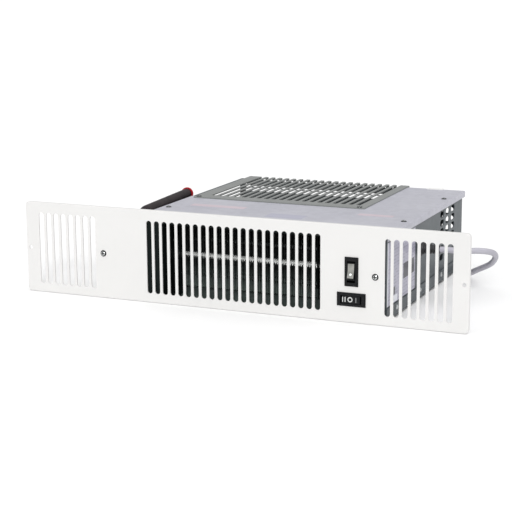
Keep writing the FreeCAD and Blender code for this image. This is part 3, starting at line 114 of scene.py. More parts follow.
# ------------------------------------------------------------------ material helpers
class Maker:
    """A material under construction, with one Principled shader and Object coordinates."""

    def __init__(self, name, roughness=0.5, metallic=0.0, specular=0.5, coat=0.0,
                 stretch=(1, 1, 1)):
        self.material = bpy.data.materials.new(name)
        self.material.use_nodes = True
        self.nodes = self.material.node_tree.nodes
        self.links = self.material.node_tree.links
        self.shader = self.nodes["Principled BSDF"]
        self.shader.inputs["Roughness"].default_value = roughness
        self.shader.inputs["Metallic"].default_value = metallic
        self.shader.inputs["Specular IOR Level"].default_value = specular
        self.shader.inputs["Coat Weight"].default_value = coat
        self.place = self.nodes.new("ShaderNodeTexCoord").outputs["Object"]
        if tuple(stretch) != (1, 1, 1):
            mapping = self.nodes.new("ShaderNodeMapping")
            mapping.inputs["Scale"].default_value = stretch
            self.links.new(self.place, mapping.inputs["Vector"])
            self.place = mapping.outputs["Vector"]
        self.bumps = None

    def noise(self, scale, detail=3.0, rough=0.5):
        node = self.nodes.new("ShaderNodeTexNoise")
        node.inputs["Scale"].default_value = scale
        node.inputs["Detail"].default_value = detail
        node.inputs["Roughness"].default_value = rough
        self.links.new(self.place, node.inputs["Vector"])
        return node.outputs["Fac"]

    def cells(self, scale, output="Color"):
        node = self.nodes.new("ShaderNodeTexVoronoi")
        node.inputs["Scale"].default_value = scale
        self.links.new(self.place, node.inputs["Vector"])
        return node.outputs[output]

    def waves(self, scale, direction, distortion=0.0):
        node = self.nodes.new("ShaderNodeTexWave")
        node.bands_direction = direction
        node.inputs["Scale"].default_value = scale
        node.inputs["Distortion"].default_value = distortion
        self.links.new(self.place, node.inputs["Vector"])
        return node.outputs["Fac"]

    def ramp(self, factor, stops):
        node = self.nodes.new("ShaderNodeValToRGB")
        band = node.color_ramp
        band.elements[0].position, first = stops[0]
        band.elements[0].color = tuple(first) + (1,)
        band.elements[1].position, last = stops[-1]
        band.elements[1].color = tuple(last) + (1,)
        for position, colour in stops[1:-1]:
            band.elements.new(position).color = tuple(colour) + (1,)
        self.links.new(factor, node.inputs["Fac"])
        return node.outputs["Color"]

    def mix(self, factor, one, two, blend="MIX"):
        node = self.nodes.new("ShaderNodeMix")
        node.data_type = "RGBA"
        node.blend_type = blend
        for value, socket in ((factor, node.inputs["Factor"]), (one, node.inputs["A"]),
                              (two, node.inputs["B"])):
            if isinstance(value, bpy.types.NodeSocket):
                self.links.new(value, socket)
            elif isinstance(value, (int, float)):
                socket.default_value = value
            else:
                socket.default_value = tuple(value) + (1,)
        return [s for s in node.outputs if s.type == "RGBA"][0]

    def calculate(self, operation, one, two):
        node = self.nodes.new("ShaderNodeMath")
        node.operation = operation
        for value, socket in ((one, node.inputs[0]), (two, node.inputs[1])):
            if isinstance(value, bpy.types.NodeSocket):
                self.links.new(value, socket)
            else:
                socket.default_value = value
        return node.outputs["Value"]

    def inside(self, **limits):
        """1 where the surface lies between the given limits along X, Y or Z, and 0 elsewhere."""
        split = self.nodes.new("ShaderNodeSeparateXYZ")
        self.links.new(self.place, split.inputs["Vector"])
        factor = None
        for axis, (low, high) in limits.items():
            for operation, limit in (("GREATER_THAN", low), ("LESS_THAN", high)):
                side = self.calculate(operation, split.outputs[axis], limit)
                factor = side if factor is None else self.calculate("MULTIPLY", factor, side)
        return factor

    def spread(self, factor, low, high):
        """A 0-1 pattern stretched to low-high."""
        node = self.nodes.new("ShaderNodeMapRange")
        node.inputs["To Min"].default_value = low
        node.inputs["To Max"].default_value = high
        self.links.new(factor, node.inputs["Value"])
        return node.outputs["Result"]

    def colour(self, socket):
        self.links.new(socket, self.shader.inputs["Base Color"])
        return self

    def roughness(self, factor, low, high):
        self.links.new(self.spread(factor, low, high), self.shader.inputs["Roughness"])
        return self

    def bump(self, height, strength, depth):
        node = self.nodes.new("ShaderNodeBump")
        node.inputs["Strength"].default_value = strength
        node.inputs["Distance"].default_value = depth
        self.links.new(height, node.inputs["Height"])
        if self.bumps:
            self.links.new(self.bumps, node.inputs["Normal"])
        self.bumps = node.outputs["Normal"]
        self.links.new(self.bumps, self.shader.inputs["Normal"])
        return self


def shade(colour, factor):
    return tuple(min(1.0, channel * factor) for channel in colour)


def mottled(name, colour, low=0.9, high=1.08, patch=60.0, grain=900.0, depth=0.00004, **finish):
    """A plain coloured surface with soft patches, fine grain and uneven gloss."""
    m = Maker(name, **finish)
    rough = finish.get("roughness", 0.5)
    patches = m.noise(patch, 4.0)
    m.colour(m.ramp(patches, [(0.3, shade(colour, low)), (0.7, shade(colour, high))]))
    m.roughness(m.noise(patch * 3, 3.0), rough * 0.85, min(1.0, rough * 1.15))
    m.bump(m.noise(grain, 2.0), 0.25, depth)
    return m


def powder_white():
    base = tuple(colours().grille)
    m = Maker("powder coat white", roughness=0.42, specular=0.45)
    dust_and_painted_light = m.noise(9.0, 5.0, 0.6)
    m.colour(m.ramp(dust_and_painted_light, [(0.25, shade(base, 0.965)), (0.55, base), (0.9, shade(base, 1.02))]))
    m.roughness(m.noise(40.0, 3.0), 0.36, 0.5)
    m.bump(m.noise(1400.0, 2.0), 0.12, 0.00006)
    return m.bump(m.noise(260.0, 2.0), 0.05, 0.00012).material


def galvanised(name, base, roughness=0.5, metallic=0.35):
    m = Maker(name, roughness=roughness, metallic=metallic, specular=0.5)
    spangle = m.ramp(m.cells(150.0), [(0.0, shade(base, 0.94)), (1.0, shade(base, 1.05))])
    streak = m.ramp(m.noise(14.0, 5.0, 0.62), [(0.3, (0.88, 0.88, 0.9)), (0.7, (1.0, 1.0, 1.0))])
    m.colour(m.mix(1.0, spangle, streak, "MULTIPLY"))
    m.roughness(m.noise(90.0, 4.0), roughness * 0.82, roughness * 1.2)
    return m.bump(m.cells(150.0, "Distance"), 0.06, 0.0001).material


# Painted light on the duct floor: the part of the black duct, in mm, that is painted grey-green for
# the light falling on the low part behind the outlet.
DUCT_PAINTED_LIGHT_ALONG = (-70, 99)
DUCT_PAINTED_LIGHT_HEIGHT = (0, 24)


def duct_black():
    """Black paint, with painted light: grey-green on the low part behind the air outlet, for the
    light on the duct floor.
    """
    base = tuple(colours().duct)
    m = Maker("duct black", roughness=0.7, specular=0.08)
    dust_and_painted_light = m.noise(55.0, 6.0, 0.65)
    paint = m.ramp(dust_and_painted_light, [(0.35, shade(base, 0.8)), (0.6, base), (0.8, (0.009, 0.012, 0.011))])
    # Painted light: grey-green for the lit duct floor, mottled by the same noise as the paint.
    wear_and_painted_light = m.ramp(dust_and_painted_light, [(0.3, (0.04, 0.052, 0.048)), (0.7, (0.075, 0.092, 0.086))])
    m.colour(m.mix(m.inside(X=span(*DUCT_PAINTED_LIGHT_ALONG, "X"), Z=span(*DUCT_PAINTED_LIGHT_HEIGHT, "Z")), paint, wear_and_painted_light))
    m.roughness(m.noise(200.0, 2.0), 0.5, 0.75)
    return m.bump(m.noise(700.0, 2.0), 0.2, 0.00005).material


def drawn_metal(name, colour, roughness=0.25, tarnish=0.8, stretch=(0.06, 1, 1)):
    m = Maker(name, roughness=roughness, metallic=1.0, stretch=stretch)
    m.colour(m.ramp(m.noise(220.0, 4.0), [(0.3, shade(colour, tarnish)), (0.7, colour)]))
    m.roughness(m.noise(500.0, 3.0), roughness * 0.7, roughness * 1.4)
    return m.bump(m.noise(900.0, 2.0), 0.08, 0.00003).material


def laminations():
    m = Maker("laminations", roughness=0.45, metallic=0.7)
    layers = m.waves(320.0, "X")
    m.colour(m.ramp(layers, [(0.2, (0.09, 0.09, 0.1)), (0.8, (0.22, 0.22, 0.24))]))
    return m.bump(layers, 0.5, 0.0002).material


def winding():
    m = Maker("taped winding", roughness=0.4, coat=0.1)
    wraps = m.waves(180.0, "Y", 0.6)
    m.colour(m.ramp(wraps, [(0.1, (0.36, 0.24, 0.05)), (0.9, (0.62, 0.46, 0.14))]))
    return m.bump(wraps, 0.35, 0.0002).material


def printed_label(name, base, ink, rows, blocks=()):
    """A printed film: faint rows of rule-like print and plain blocks of colour, no lettering."""
    m = Maker(name, roughness=0.35, specular=0.5, coat=0.15)
    lines = m.ramp(m.waves(rows, "Z"), [(0.62, (0, 0, 0)), (0.74, (1, 1, 1))])
    breaks = m.ramp(m.noise(240.0, 1.0), [(0.45, (0, 0, 0)), (0.52, (1, 1, 1))])
    print_area = m.mix(1.0, lines, breaks, "MULTIPLY")
    tone = m.ramp(m.noise(30.0, 3.0), [(0.3, shade(base, 0.94)), (0.7, shade(base, 1.04))])
    colour = m.mix(m.spread(print_area, 0.0, 0.5), tone, ink)
    for block, limits in blocks:
        colour = m.mix(m.inside(**limits), colour, block)
    m.colour(colour)
    return m.bump(m.noise(400.0, 2.0), 0.05, 0.00003).material


def span(low, high, axis="Y"):
    """Limits in mm turned into metres in the scene."""
    shift = GRILLE_FRONT if axis == "Y" else 0.0
    return (low * MM + shift, high * MM + shift)


# ------------------------------------------------------------------ mesh helpers
def start_clean():
    if bpy.context.object and bpy.context.object.mode != "OBJECT":
        bpy.ops.object.mode_set(mode="OBJECT")
    bpy.ops.object.select_all(action="DESELECT")


def pick(obj):
    """Deselect everything else and make this the active piece."""
    start_clean()
    obj.select_set(True)
    bpy.context.view_layer.objects.active = obj


def finish_piece(obj, name, material, body="heater"):
    """Name a made object, apply its place, shade it, give its material and let it ride."""
    pick(obj)
    obj.name = name
    obj.data.name = name
    bpy.ops.object.transform_apply(location=True, rotation=True, scale=True)
    bpy.ops.object.mode_set(mode="EDIT")
    bpy.ops.mesh.select_all(action="SELECT")
    bpy.ops.mesh.remove_doubles(threshold=MERGE)
    bpy.ops.mesh.normals_make_consistent(inside=False)
    bpy.ops.object.mode_set(mode="OBJECT")
    bpy.ops.object.shade_smooth_by_angle(angle=SMOOTH_ANGLE)
    obj.data.materials.clear()
    obj.data.materials.append(material)
    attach(obj, body)
    start_clean()
    return obj


def dress(material, *names):
    """Give CAD nodes their finished material."""
    for name in names:
        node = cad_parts[name]
        node.data.materials.clear()
        node.data.materials.append(material)


def select_where(obj, kind, test):
    """In edit mode, select only the faces, edges or vertices that pass the test."""
    mesh = bmesh.from_edit_mesh(obj.data)
    bpy.ops.mesh.select_mode(type={"verts": "VERT", "edges": "EDGE", "faces": "FACE"}[kind])
    bpy.ops.mesh.select_all(action="DESELECT")
    for item in getattr(mesh, kind):
        if test(item):
            item.select_set(True)
    mesh.select_flush_mode()
    bmesh.update_edit_mesh(obj.data)


def spin_profile(points, centre, axis, steps):
    """Turn an open profile of (along, radius) points about an axis through centre."""
    start_clean()
    axis = Vector(axis).normalized()
    side = axis.orthogonal().normalized()
    bpy.ops.mesh.primitive_plane_add(size=0.001, location=centre)
    obj = bpy.context.object
    obj.data.clear_geometry()
    obj.data.from_pydata([tuple(axis * a + side * r) for a, r in points],
                         [(i, i + 1) for i in range(len(points) - 1)], [])
    bpy.ops.object.mode_set(mode="EDIT")
    bpy.ops.mesh.select_all(action="SELECT")
    bpy.ops.mesh.spin(steps=steps, angle=math.tau, center=centre, axis=axis)
    bpy.ops.mesh.select_all(action="SELECT")
    bpy.ops.mesh.remove_doubles(threshold=MERGE)
    bpy.ops.object.mode_set(mode="OBJECT")
    return obj


def bevelled_block(size, bevel, centre=(0, 0, 0)):
    """A block of the given size in metres with rounded edges."""
    start_clean()
    bpy.ops.mesh.primitive_cube_add(size=1, location=centre)
    obj = bpy.context.object
    obj.scale = size
    bpy.ops.object.transform_apply(location=True, rotation=True, scale=True)
    bpy.ops.object.mode_set(mode="EDIT")
    bpy.ops.mesh.select_all(action="SELECT")
    bpy.ops.mesh.bevel(offset=bevel, segments=2)
    bpy.ops.object.mode_set(mode="OBJECT")
    return obj


def cut_away(obj, tool):
    """Take one mesh out of another and remove the tool."""
    pick(obj)
    cut = obj.modifiers.new("cut", "BOOLEAN")
    cut.operation = "DIFFERENCE"
    cut.object = tool
    bpy.ops.object.modifier_apply(modifier="cut")
    bpy.data.objects.remove(tool)


SHANK_LEN = 0.004


def cross_screw(name, place, axis, head_r, head_h, metal, dark):
    """A domed screw on a plain washer face, with a cross recess; axis is the way it looks."""
    axis = Vector(axis)
    washer = head_h * 0.14
    profile = [(-SHANK_LEN, 0.0), (-SHANK_LEN, head_r * 0.45), (0.0, head_r * 0.45), (0.0, head_r),
               (washer, head_r), (washer * 1.1, head_r * 0.86), (head_h * 0.4, head_r * 0.84),
               (head_h * 0.7, head_r * 0.66), (head_h * 0.9, head_r * 0.42),
               (head_h, head_r * 0.16), (head_h, 0.0)]
    screw = spin_profile(profile, place, axis, 36)
    finish_piece(screw, name, metal)
    across = Vector((0, 0, 1)) if abs(axis.z) < 0.5 else Vector((1, 0, 0))
    aside = axis.cross(across)
    reach = head_r * 0.52
    for long_way, short_way in ((across, aside), (aside, across)):
        size = [abs(long_way[i]) * reach * 2 + abs(short_way[i]) * head_r * 0.24
                + abs(axis[i]) * head_h for i in range(3)]
        cut_away(screw, bevelled_block(size, head_r * 0.05, Vector(place) + axis * head_h * 0.95))
    # Painted shade in the cross recess and a painted dark reflection on the sides of the dome:
    # these faces take the dark material.
    screw.data.materials.append(dark)
    for face in screw.data.polygons:
        offset = face.center - Vector(place)
        along = offset.dot(axis)
        away = (offset - axis * along).length
        recess = head_h * 0.3 < along < head_h * 0.8 and away < reach
        painted_dark_rim = washer * 0.9 < along < head_h * 0.75 and away > head_r * 0.62
        face.material_index = 1 if recess or painted_dark_rim else 0
    return screw


# ------------------------------------------------------------------ supply cable
CABLE_ROUTE = [at(185.0, 122.0, 56.0), at(210.0, 122.0, 56.0), at(226.5, 131.5, 56.3),
               at(237.5, 158.0, 49.0), at(228.0, 179.5, 32.5), at(207.0, 193.0, 21.0),
               at(191.0, 221.0, 9.5), at(179.0, 252.0, 3.25), at(168.9, 290.0, 3.25),
               at(148.7, 336.8, 3.25)]
COIL_LEAVE = math.radians(100.0)
TURNS_PER_LAYER = 2.5
POINTS_PER_TURN = 16
TAIL_ASIDE = 0.005
CURVE_ORDER = 3
CURVE_STEPS = 6
CURVE_SIDES = 5


def coil_start():
    """Where the cable meets its coil, and the coil's centre."""
    s = sizes()
    heading = (CABLE_ROUTE[-1] - CABLE_ROUTE[-2]).normalized()
    touch = CABLE_ROUTE[-1] + heading * s.coil_lead
    return touch, touch + Vector((-heading.y, heading.x, 0)) * s.coil_outer


def coil_points():
    """Two flat layers of turns: in along the floor, up at the middle, and out on top."""
    s = sizes()
    touch, centre = coil_start()
    first = math.atan2(touch.y - centre.y, touch.x - centre.x)
    total = (COIL_LEAVE - first) % math.tau
    whole = math.tau * round(2 * TURNS_PER_LAYER + 0.5 - total / math.tau) + total
    climb = math.pi
    layer = (whole - climb) / 2
    steps = int(whole / math.tau * POINTS_PER_TURN)
    points = []
    for i in range(steps + 1):
        angle = whole * i / steps
        inward = min(1.0, angle / layer)
        outward = max(0.0, (angle - layer - climb) / layer)
        lift = min(1.0, max(0.0, (angle - layer) / climb))
        r = s.coil_outer - (s.coil_outer - s.coil_inner) * (inward - outward)
        turn = first + angle
        rise = s.coil_lap * (3 * lift ** 2 - 2 * lift ** 3)
        points.append(centre + Vector((math.cos(turn) * r, math.sin(turn) * r, rise)))
    return points


def tail_points(last):
    """From the coil's upper outer turn, straight on and down to the floor."""
    s = sizes()
    out = Vector((math.cos(COIL_LEAVE), math.sin(COIL_LEAVE), 0))
    heading = Vector((-out.y, out.x, 0))
    side = Vector((-heading.y, heading.x, 0))
    run = s.tail / 3
    start = last + heading * s.coil_lead
    knee = start + heading * run
    low = knee + heading * run - Vector((0, 0, s.coil_lap * 0.8))
    end = low + heading * run + side * TAIL_ASIDE - Vector((0, 0, s.coil_lap * 0.2))
    return [start, knee, low, end]


class HEATER_OT_supply_cable(bpy.types.Operator):
    """Supply cable: free run, put-away coil and tail, as one smooth curve"""
    bl_idname = "heater.supply_cable"
    bl_label = "Supply cable"

    def execute(self, context):
        start_clean()
        turns = coil_points()
        points = CABLE_ROUTE + turns + tail_points(turns[-1])
        curve = bpy.data.curves.new("supply_cable", "CURVE")
        curve.dimensions = "3D"
        spline = curve.splines.new("NURBS")
        spline.points.add(len(points) - 1)
        for knot, point in zip(spline.points, points):
            knot.co = (*point, 1)
        spline.order_u = CURVE_ORDER
        spline.use_endpoint_u = True
        spline.resolution_u = CURVE_STEPS
        curve.bevel_depth = sizes().cable_d / 2
        curve.bevel_resolution = CURVE_SIDES
        curve.use_fill_caps = True
        cable = bpy.data.objects.new("supply_cable", curve)
        context.scene.collection.objects.link(cable)
        cable.data.materials.append(self.sheath())
        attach(cable, "heater")
        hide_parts("mains_cable", "cable_coil", "cable_tail")
        length = self.length_of(cable)
        dress(self.cores(), "core_ends")
        return {"FINISHED"}

    def length_of(self, cable):
        bare = cable.data.copy()
        bare.bevel_depth = 0.0
        probe = bpy.data.objects.new("probe", bare)
        mesh = bpy.data.meshes.new_from_object(probe)
        length = sum((mesh.vertices[a].co - mesh.vertices[b].co).length for a, b in
                     (edge.vertices for edge in mesh.edges))
        bpy.data.objects.remove(probe)
        bpy.data.meshes.remove(mesh)
        return length

    def sheath(self):
        base = tuple(colours().cable)
        return mottled("cable sheath", base, 0.93, 1.05, 50.0, 1100.0, 0.00002, roughness=0.38,
                       specular=0.5).material

    def cores(self):
        m = Maker("core insulation", roughness=0.35)
        m.colour(m.ramp(m.noise(45.0, 1.0), [(0.42, (0.02, 0.09, 0.32)), (0.5, (0.2, 0.28, 0.03)),
                                            (0.58, (0.22, 0.1, 0.04))]))
        return m.bump(m.noise(900.0), 0.1, 0.00002).material


BOOT_HOLE_GAP = 0.0001
BOOT_COLLAR = 0.0085
BOOT_SEAT = 0.004
BOOT_NECK = 0.0056
BOOT_ROOT = 0.0063
BOOT_TAPER = 0.0019
BOOT_FACETS = 40


class HEATER_OT_strain_relief(bpy.types.Operator):
    """Ribbed, tapered rubber boot where the cable leaves the case"""
    bl_idname = "heater.strain_relief"
    bl_label = "Strain relief"

    def execute(self, context):
        low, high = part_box("strain_relief")
        centre = Vector((low.x, (low.y + high.y) / 2, (low.z + high.z) / 2))
        length = high.x - low.x
        hole = sizes().cable_d / 2 + BOOT_HOLE_GAP
        collar = BOOT_COLLAR
        seat = BOOT_SEAT
        profile = [(0.0, hole), (0.0, 0.0066), (0.0025, 0.007), (0.003, BOOT_NECK),
                   (seat, BOOT_NECK), (seat, collar - 0.0005), (seat + 0.0005, collar),
                   (seat + 0.002, collar), (seat + 0.0025, collar - 0.0006), (seat + 0.003, 0.0064)]
        ribs = sizes().boot_ribs
        start = seat + 0.003
        pitch = (length - start) / ribs
        for i in range(ribs):
            a = start + i * pitch
            r = BOOT_ROOT - BOOT_TAPER * (i / ribs)
            profile += [(a + pitch * 0.1, r), (a + pitch * 0.5, r - 0.0002),
                        (a + pitch * 0.58, r - 0.0013), (a + pitch * 0.9, r - 0.0014)]
        profile += [(length - 0.0006, 0.0043), (length, 0.0039), (length, hole)]
        boot = spin_profile(profile, centre, (1, 0, 0), BOOT_FACETS)
        rubber = mottled("boot rubber", (0.02, 0.02, 0.022), 0.8, 1.2, 90.0, 1300.0, 0.00004,
                         roughness=0.5)
        finish_piece(boot, "strain_relief_boot", rubber.material)
        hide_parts("strain_relief")
        return {"FINISHED"}


# ------------------------------------------------------------------ finishes of the CAD nodes
class HEATER_OT_front(bpy.types.Operator):
    """Powder coat of the grille"""
    bl_idname = "heater.front"
    bl_label = "Grille"

    def execute(self, context):
        dress(powder_white(), "front_grille")
        return {"FINISHED"}


FRONTWARD = (0, -1, 0)
UPWARD = (0, 0, 1)
GRILLE_SCREW_X = 154.0
GRILLE_SCREW_Z = 49.2
GRILLE_HEAD = (0.0035, 0.002)
COVER_SCREW_SPOTS = ((156.5, 83.0), (157.0, 229.5), (-110.0, 70.0))
COVER_TOP = 91.0
GUARD_SCREW_XS = (88.2, -106.0)
GUARD_SCREW_Y = 139.0
GUARD_TOP = 92.2
TOP_HEAD = (0.0032, 0.0016)


class HEATER_OT_screws(bpy.types.Operator):
    """Domed cross-recess screws of the grille, the cover and the guard"""
    bl_idname = "heater.screws"
    bl_label = "Screws"

    def execute(self, context):
        zinc = drawn_metal("zinc screws", (0.6, 0.62, 0.62), 0.22, 0.75, (1, 1, 1))
        dark = mottled("screw shadow", (0.006, 0.006, 0.007), 0.8, 1.2, 200.0, 1500.0, 0.00002,
                       roughness=0.6)
        metals = (zinc, dark.material)
        dress(zinc, "case_rivets", "motor_screws")
        for side in (-1, 1):
            place = at(side * GRILLE_SCREW_X, 0.0, GRILLE_SCREW_Z)
            screw = cross_screw("grille_screw_%d" % side, place, FRONTWARD, *GRILLE_HEAD, *metals)
            self.replace(screw, "grille_screws")
        for i, (x, y) in enumerate(COVER_SCREW_SPOTS):
            place = at(x, y, COVER_TOP)
            screw = cross_screw("cover_screw_%d" % i, place, UPWARD, *TOP_HEAD, *metals)
            self.replace(screw, "cover_screws")
        for i, x in enumerate(GUARD_SCREW_XS):
            place = at(x, GUARD_SCREW_Y, GUARD_TOP)
            screw = cross_screw("guard_screw_%d" % i, place, UPWARD, *TOP_HEAD, *metals)
            self.replace(screw, "guard_screws")
        return {"FINISHED"}

    def replace(self, screw, node):
        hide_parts(node)


class HEATER_OT_case(bpy.types.Operator):
    """Galvanised cover, tray and panels painted dark for shade, inlet guard, feet, labels and nylon
    parts
    """
    bl_idname = "heater.case"
    bl_label = "Case"

    def execute(self, context):
        c = colours()
        dress(galvanised("galvanised sheet", tuple(c.sheet)), "top_cover", "motor_bridges")
        # Painted shade: a darker copy of the galvanised sheet on the tray and the panels.
        dress(galvanised("dark sheet", tuple(c.side), 0.45, 0.3), "right_panel", "base_tray",
              "left_panel", "rear_panel")
        guard = mottled("guard paint", tuple(c.guard), 0.92, 1.06, 40.0, 900.0, 0.00004,
                        roughness=0.45)
        dress(guard.material, "inlet_guard")
        rubber = mottled("black rubber", (0.018, 0.018, 0.02), 0.8, 1.25, 80.0, 1000.0, 0.00006,
                         roughness=0.7)
        dress(rubber.material, "feet", "bearing_rubber")
        dark, pale = (0.035, 0.035, 0.05), (0.75, 0.76, 0.82)
        data_blocks = ((dark, {"Y": span(63, 100), "Z": span(35, 51, "Z")}),
                       (dark, {"Y": span(20, 36), "Z": span(25, 33, "Z")}),
                       (pale, {"Y": span(20, 44), "Z": span(17, 24, "Z")}),
                       (pale, {"Y": span(0, 13.5)}))
        dress(printed_label("data label film", (0.4, 0.39, 0.48), (0.16, 0.16, 0.22), 90.0,
                            data_blocks), "data_label")
        grey = (((0.37, 0.37, 0.46), {"X": span(5, 60, "X")}),)
        dress(printed_label("cover label film", (0.53, 0.44, 0.49), (0.44, 0.33, 0.38), 200.0,
                            grey), "cover_labels")
        nylon = mottled("white nylon", (0.8, 0.8, 0.78), 0.96, 1.02, 60.0, 900.0, 0.00003,
                        roughness=0.4)
        dress(nylon.material, "edge_clip", "terminal_block", "cable_clamp")
        return {"FINISHED"}


class HEATER_OT_air_path(bpy.types.Operator):
    """Black duct and front frame, fan wheel, shaft, bearing, motor and brass parts"""
    bl_idname = "heater.air_path"
    bl_label = "Air path"

    def execute(self, context):
        dress(duct_black(), "front_frame", "exchanger_end_plates", "left_partition",
              "right_partition", "duct_floor", "fan_scroll", "fan_tongue")
        dress(drawn_metal("fan aluminium", (0.6, 0.61, 0.62), 0.35), "impeller_blades",
              "impeller_discs")
        dress(drawn_metal("ground steel", (0.55, 0.55, 0.56), 0.22), "fan_shaft", "motor_sleeves")
        dress(drawn_metal("bronze and brass", (0.7, 0.5, 0.22), 0.3, 0.75, (1, 1, 1)),
              "bearing_bush", "pipe_elbows", "switch_terminals", "terminal_screws", "earth_stud")
        dress(laminations(), "motor_core", "motor_rotor")
        dress(winding(), "motor_coil")
        return {"FINISHED"}


# Heights in mm: the fins are painted paler towards the bottom as light from the duct floor, and
# painted near-white in a thin band as a highlight.
FIN_PAINTED_LIGHT_HEIGHTS = (14.0, 60.0)
FIN_HIGHLIGHT_BAND = (47.6, 51.4)
# Heights in mm of the tubes' painted highlight; outside it the tubes are painted dark for shade.
TUBE_HIGHLIGHT_BAND = (40.0, 58.0)
SHADED_TIN = (0.05, 0.055, 0.055)
HIGHLIGHT_TIN = (0.97, 0.98, 0.96)


class HEATER_OT_water_side(bpy.types.Operator):
    """Finned exchanger, tinned tubes, hoses and transit plugs"""
    bl_idname = "heater.water_side"
    bl_label = "Water side"

    def execute(self, context):
        dress(self.fins(), "exchanger_fins")
        dress(self.tinned(), "exchanger_hairpins", "return_bends", "pipe_stubs")
        hose = mottled("hose rubber", (0.017, 0.012, 0.014), 0.7, 1.4, 45.0, 900.0, 0.00003,
                       roughness=0.5, specular=0.2)
        dress(hose.material, "flow_hose", "return_hose")
        red = mottled("red plug plastic", tuple(colours().plug), 0.85, 1.1, 70.0, 900.0, 0.00003,
                      roughness=0.4)
        blue = mottled("blue plug plastic", (0.01, 0.05, 0.3), 0.85, 1.1, 70.0, 900.0, 0.00003,
                       roughness=0.4)
        dress(red.material, "flow_plug")
        dress(blue.material, "return_plug")
        return {"FINISHED"}

    def fins(self):
        """Black-coated fins, painted paler towards the bottom as light from below and painted
        bright along the middle row as a highlight.
        """
        m = Maker("coated fins", roughness=0.55, metallic=0.2)
        height = self.height(m, *FIN_PAINTED_LIGHT_HEIGHTS)
        # Painted light: pale grey-green low down, fading to black higher up.
        dust_and_painted_light = m.ramp(height, [(0.0, (0.32, 0.39, 0.36)), (0.35, (0.12, 0.15, 0.14)),
                               (0.6, (0.022, 0.028, 0.027)), (1.0, (0.012, 0.016, 0.016))])
        # Painted highlight: a near-white band on the fins at the middle row.
        dust_and_painted_light = m.mix(m.inside(Z=span(*FIN_HIGHLIGHT_BAND, "Z")), dust_and_painted_light, (0.95, 0.96, 0.95))
        stains = m.ramp(m.noise(160.0, 4.0), [(0.3, (0.7, 0.7, 0.7)), (0.7, (1, 1, 1))])
        m.colour(m.mix(1.0, dust_and_painted_light, stains, "MULTIPLY"))
        return m.bump(m.noise(600.0, 2.0), 0.1, 0.00003).material

    def tinned(self):
        """Tinned tubes, painted dark for shade, with a painted highlight as a bright band on the
        middle row.
        """
        m = Maker("tinned tube", roughness=0.12, metallic=1.0)
        height = self.height(m, *TUBE_HIGHLIGHT_BAND)
        # Painted highlight on the middle row, with painted shade above and below it.
        band = m.ramp(height, [(0.0, SHADED_TIN), (0.14, HIGHLIGHT_TIN), (0.86, HIGHLIGHT_TIN),
                               (1.0, SHADED_TIN)])
        stains = m.ramp(m.noise(120.0, 4.0), [(0.3, (0.8, 0.8, 0.8)), (0.7, (1, 1, 1))])
        m.colour(m.mix(1.0, band, stains, "MULTIPLY"))
        m.roughness(m.noise(300.0, 3.0), 0.08, 0.18)
        return m.bump(m.noise(900.0, 2.0), 0.03, 0.00001).material

    def height(self, m, low, high):
        """0 to 1 between two heights in mm."""
        split = m.nodes.new("ShaderNodeSeparateXYZ")
        m.links.new(m.place, split.inputs["Vector"])
        node = m.nodes.new("ShaderNodeMapRange")
        node.inputs["From Min"].default_value = low * MM
        node.inputs["From Max"].default_value = high * MM
        m.links.new(split.outputs["Z"], node.inputs["Value"])
        return node.outputs["Result"]


SEASON_PIVOT = (129.0, 3.5, 52.6)
SEASON_REST = math.radians(-11.0)
SEASON_SLOPE = math.tan(math.radians(6.05))
SEASON_VALLEY = -2.29
LENS_DROP = -3.6
FACE_PLATE_W = 0.0066
FACE_PLATE_T = 0.0005
FACE_PLATE_HALF = 0.0073
RING_PROFILE = ((0.0, 0.00152), (0.00034, 0.00152), (0.00042, 0.0017), (0.00034, 0.00195),
                (0.0, 0.002))
LENS_PROFILE = ((-0.0002, 0.0), (-0.0002, 0.00148), (0.0004, 0.00146), (0.00062, 0.0012),
                (0.0008, 0.0007), (0.00086, 0.0))
LENS_FACETS = 32
SPEED_CENTRE = (129.0, 24.0)
SPEED_VALLEY = -0.95
SPEED_SLOPE = math.tan(math.radians(5.5))
BAR_SIZE = (0.0009, 0.0003, 0.0052)
OFF_ALONG = -1.0
OFF_RAISE = 0.1
OFF_PROFILE = ((0.0, 0.00165), (0.00045, 0.00168), (0.0005, 0.00175), (0.0005, 0.0026),
               (0.00045, 0.00267), (0.0, 0.0027))
OFF_FACETS = 40


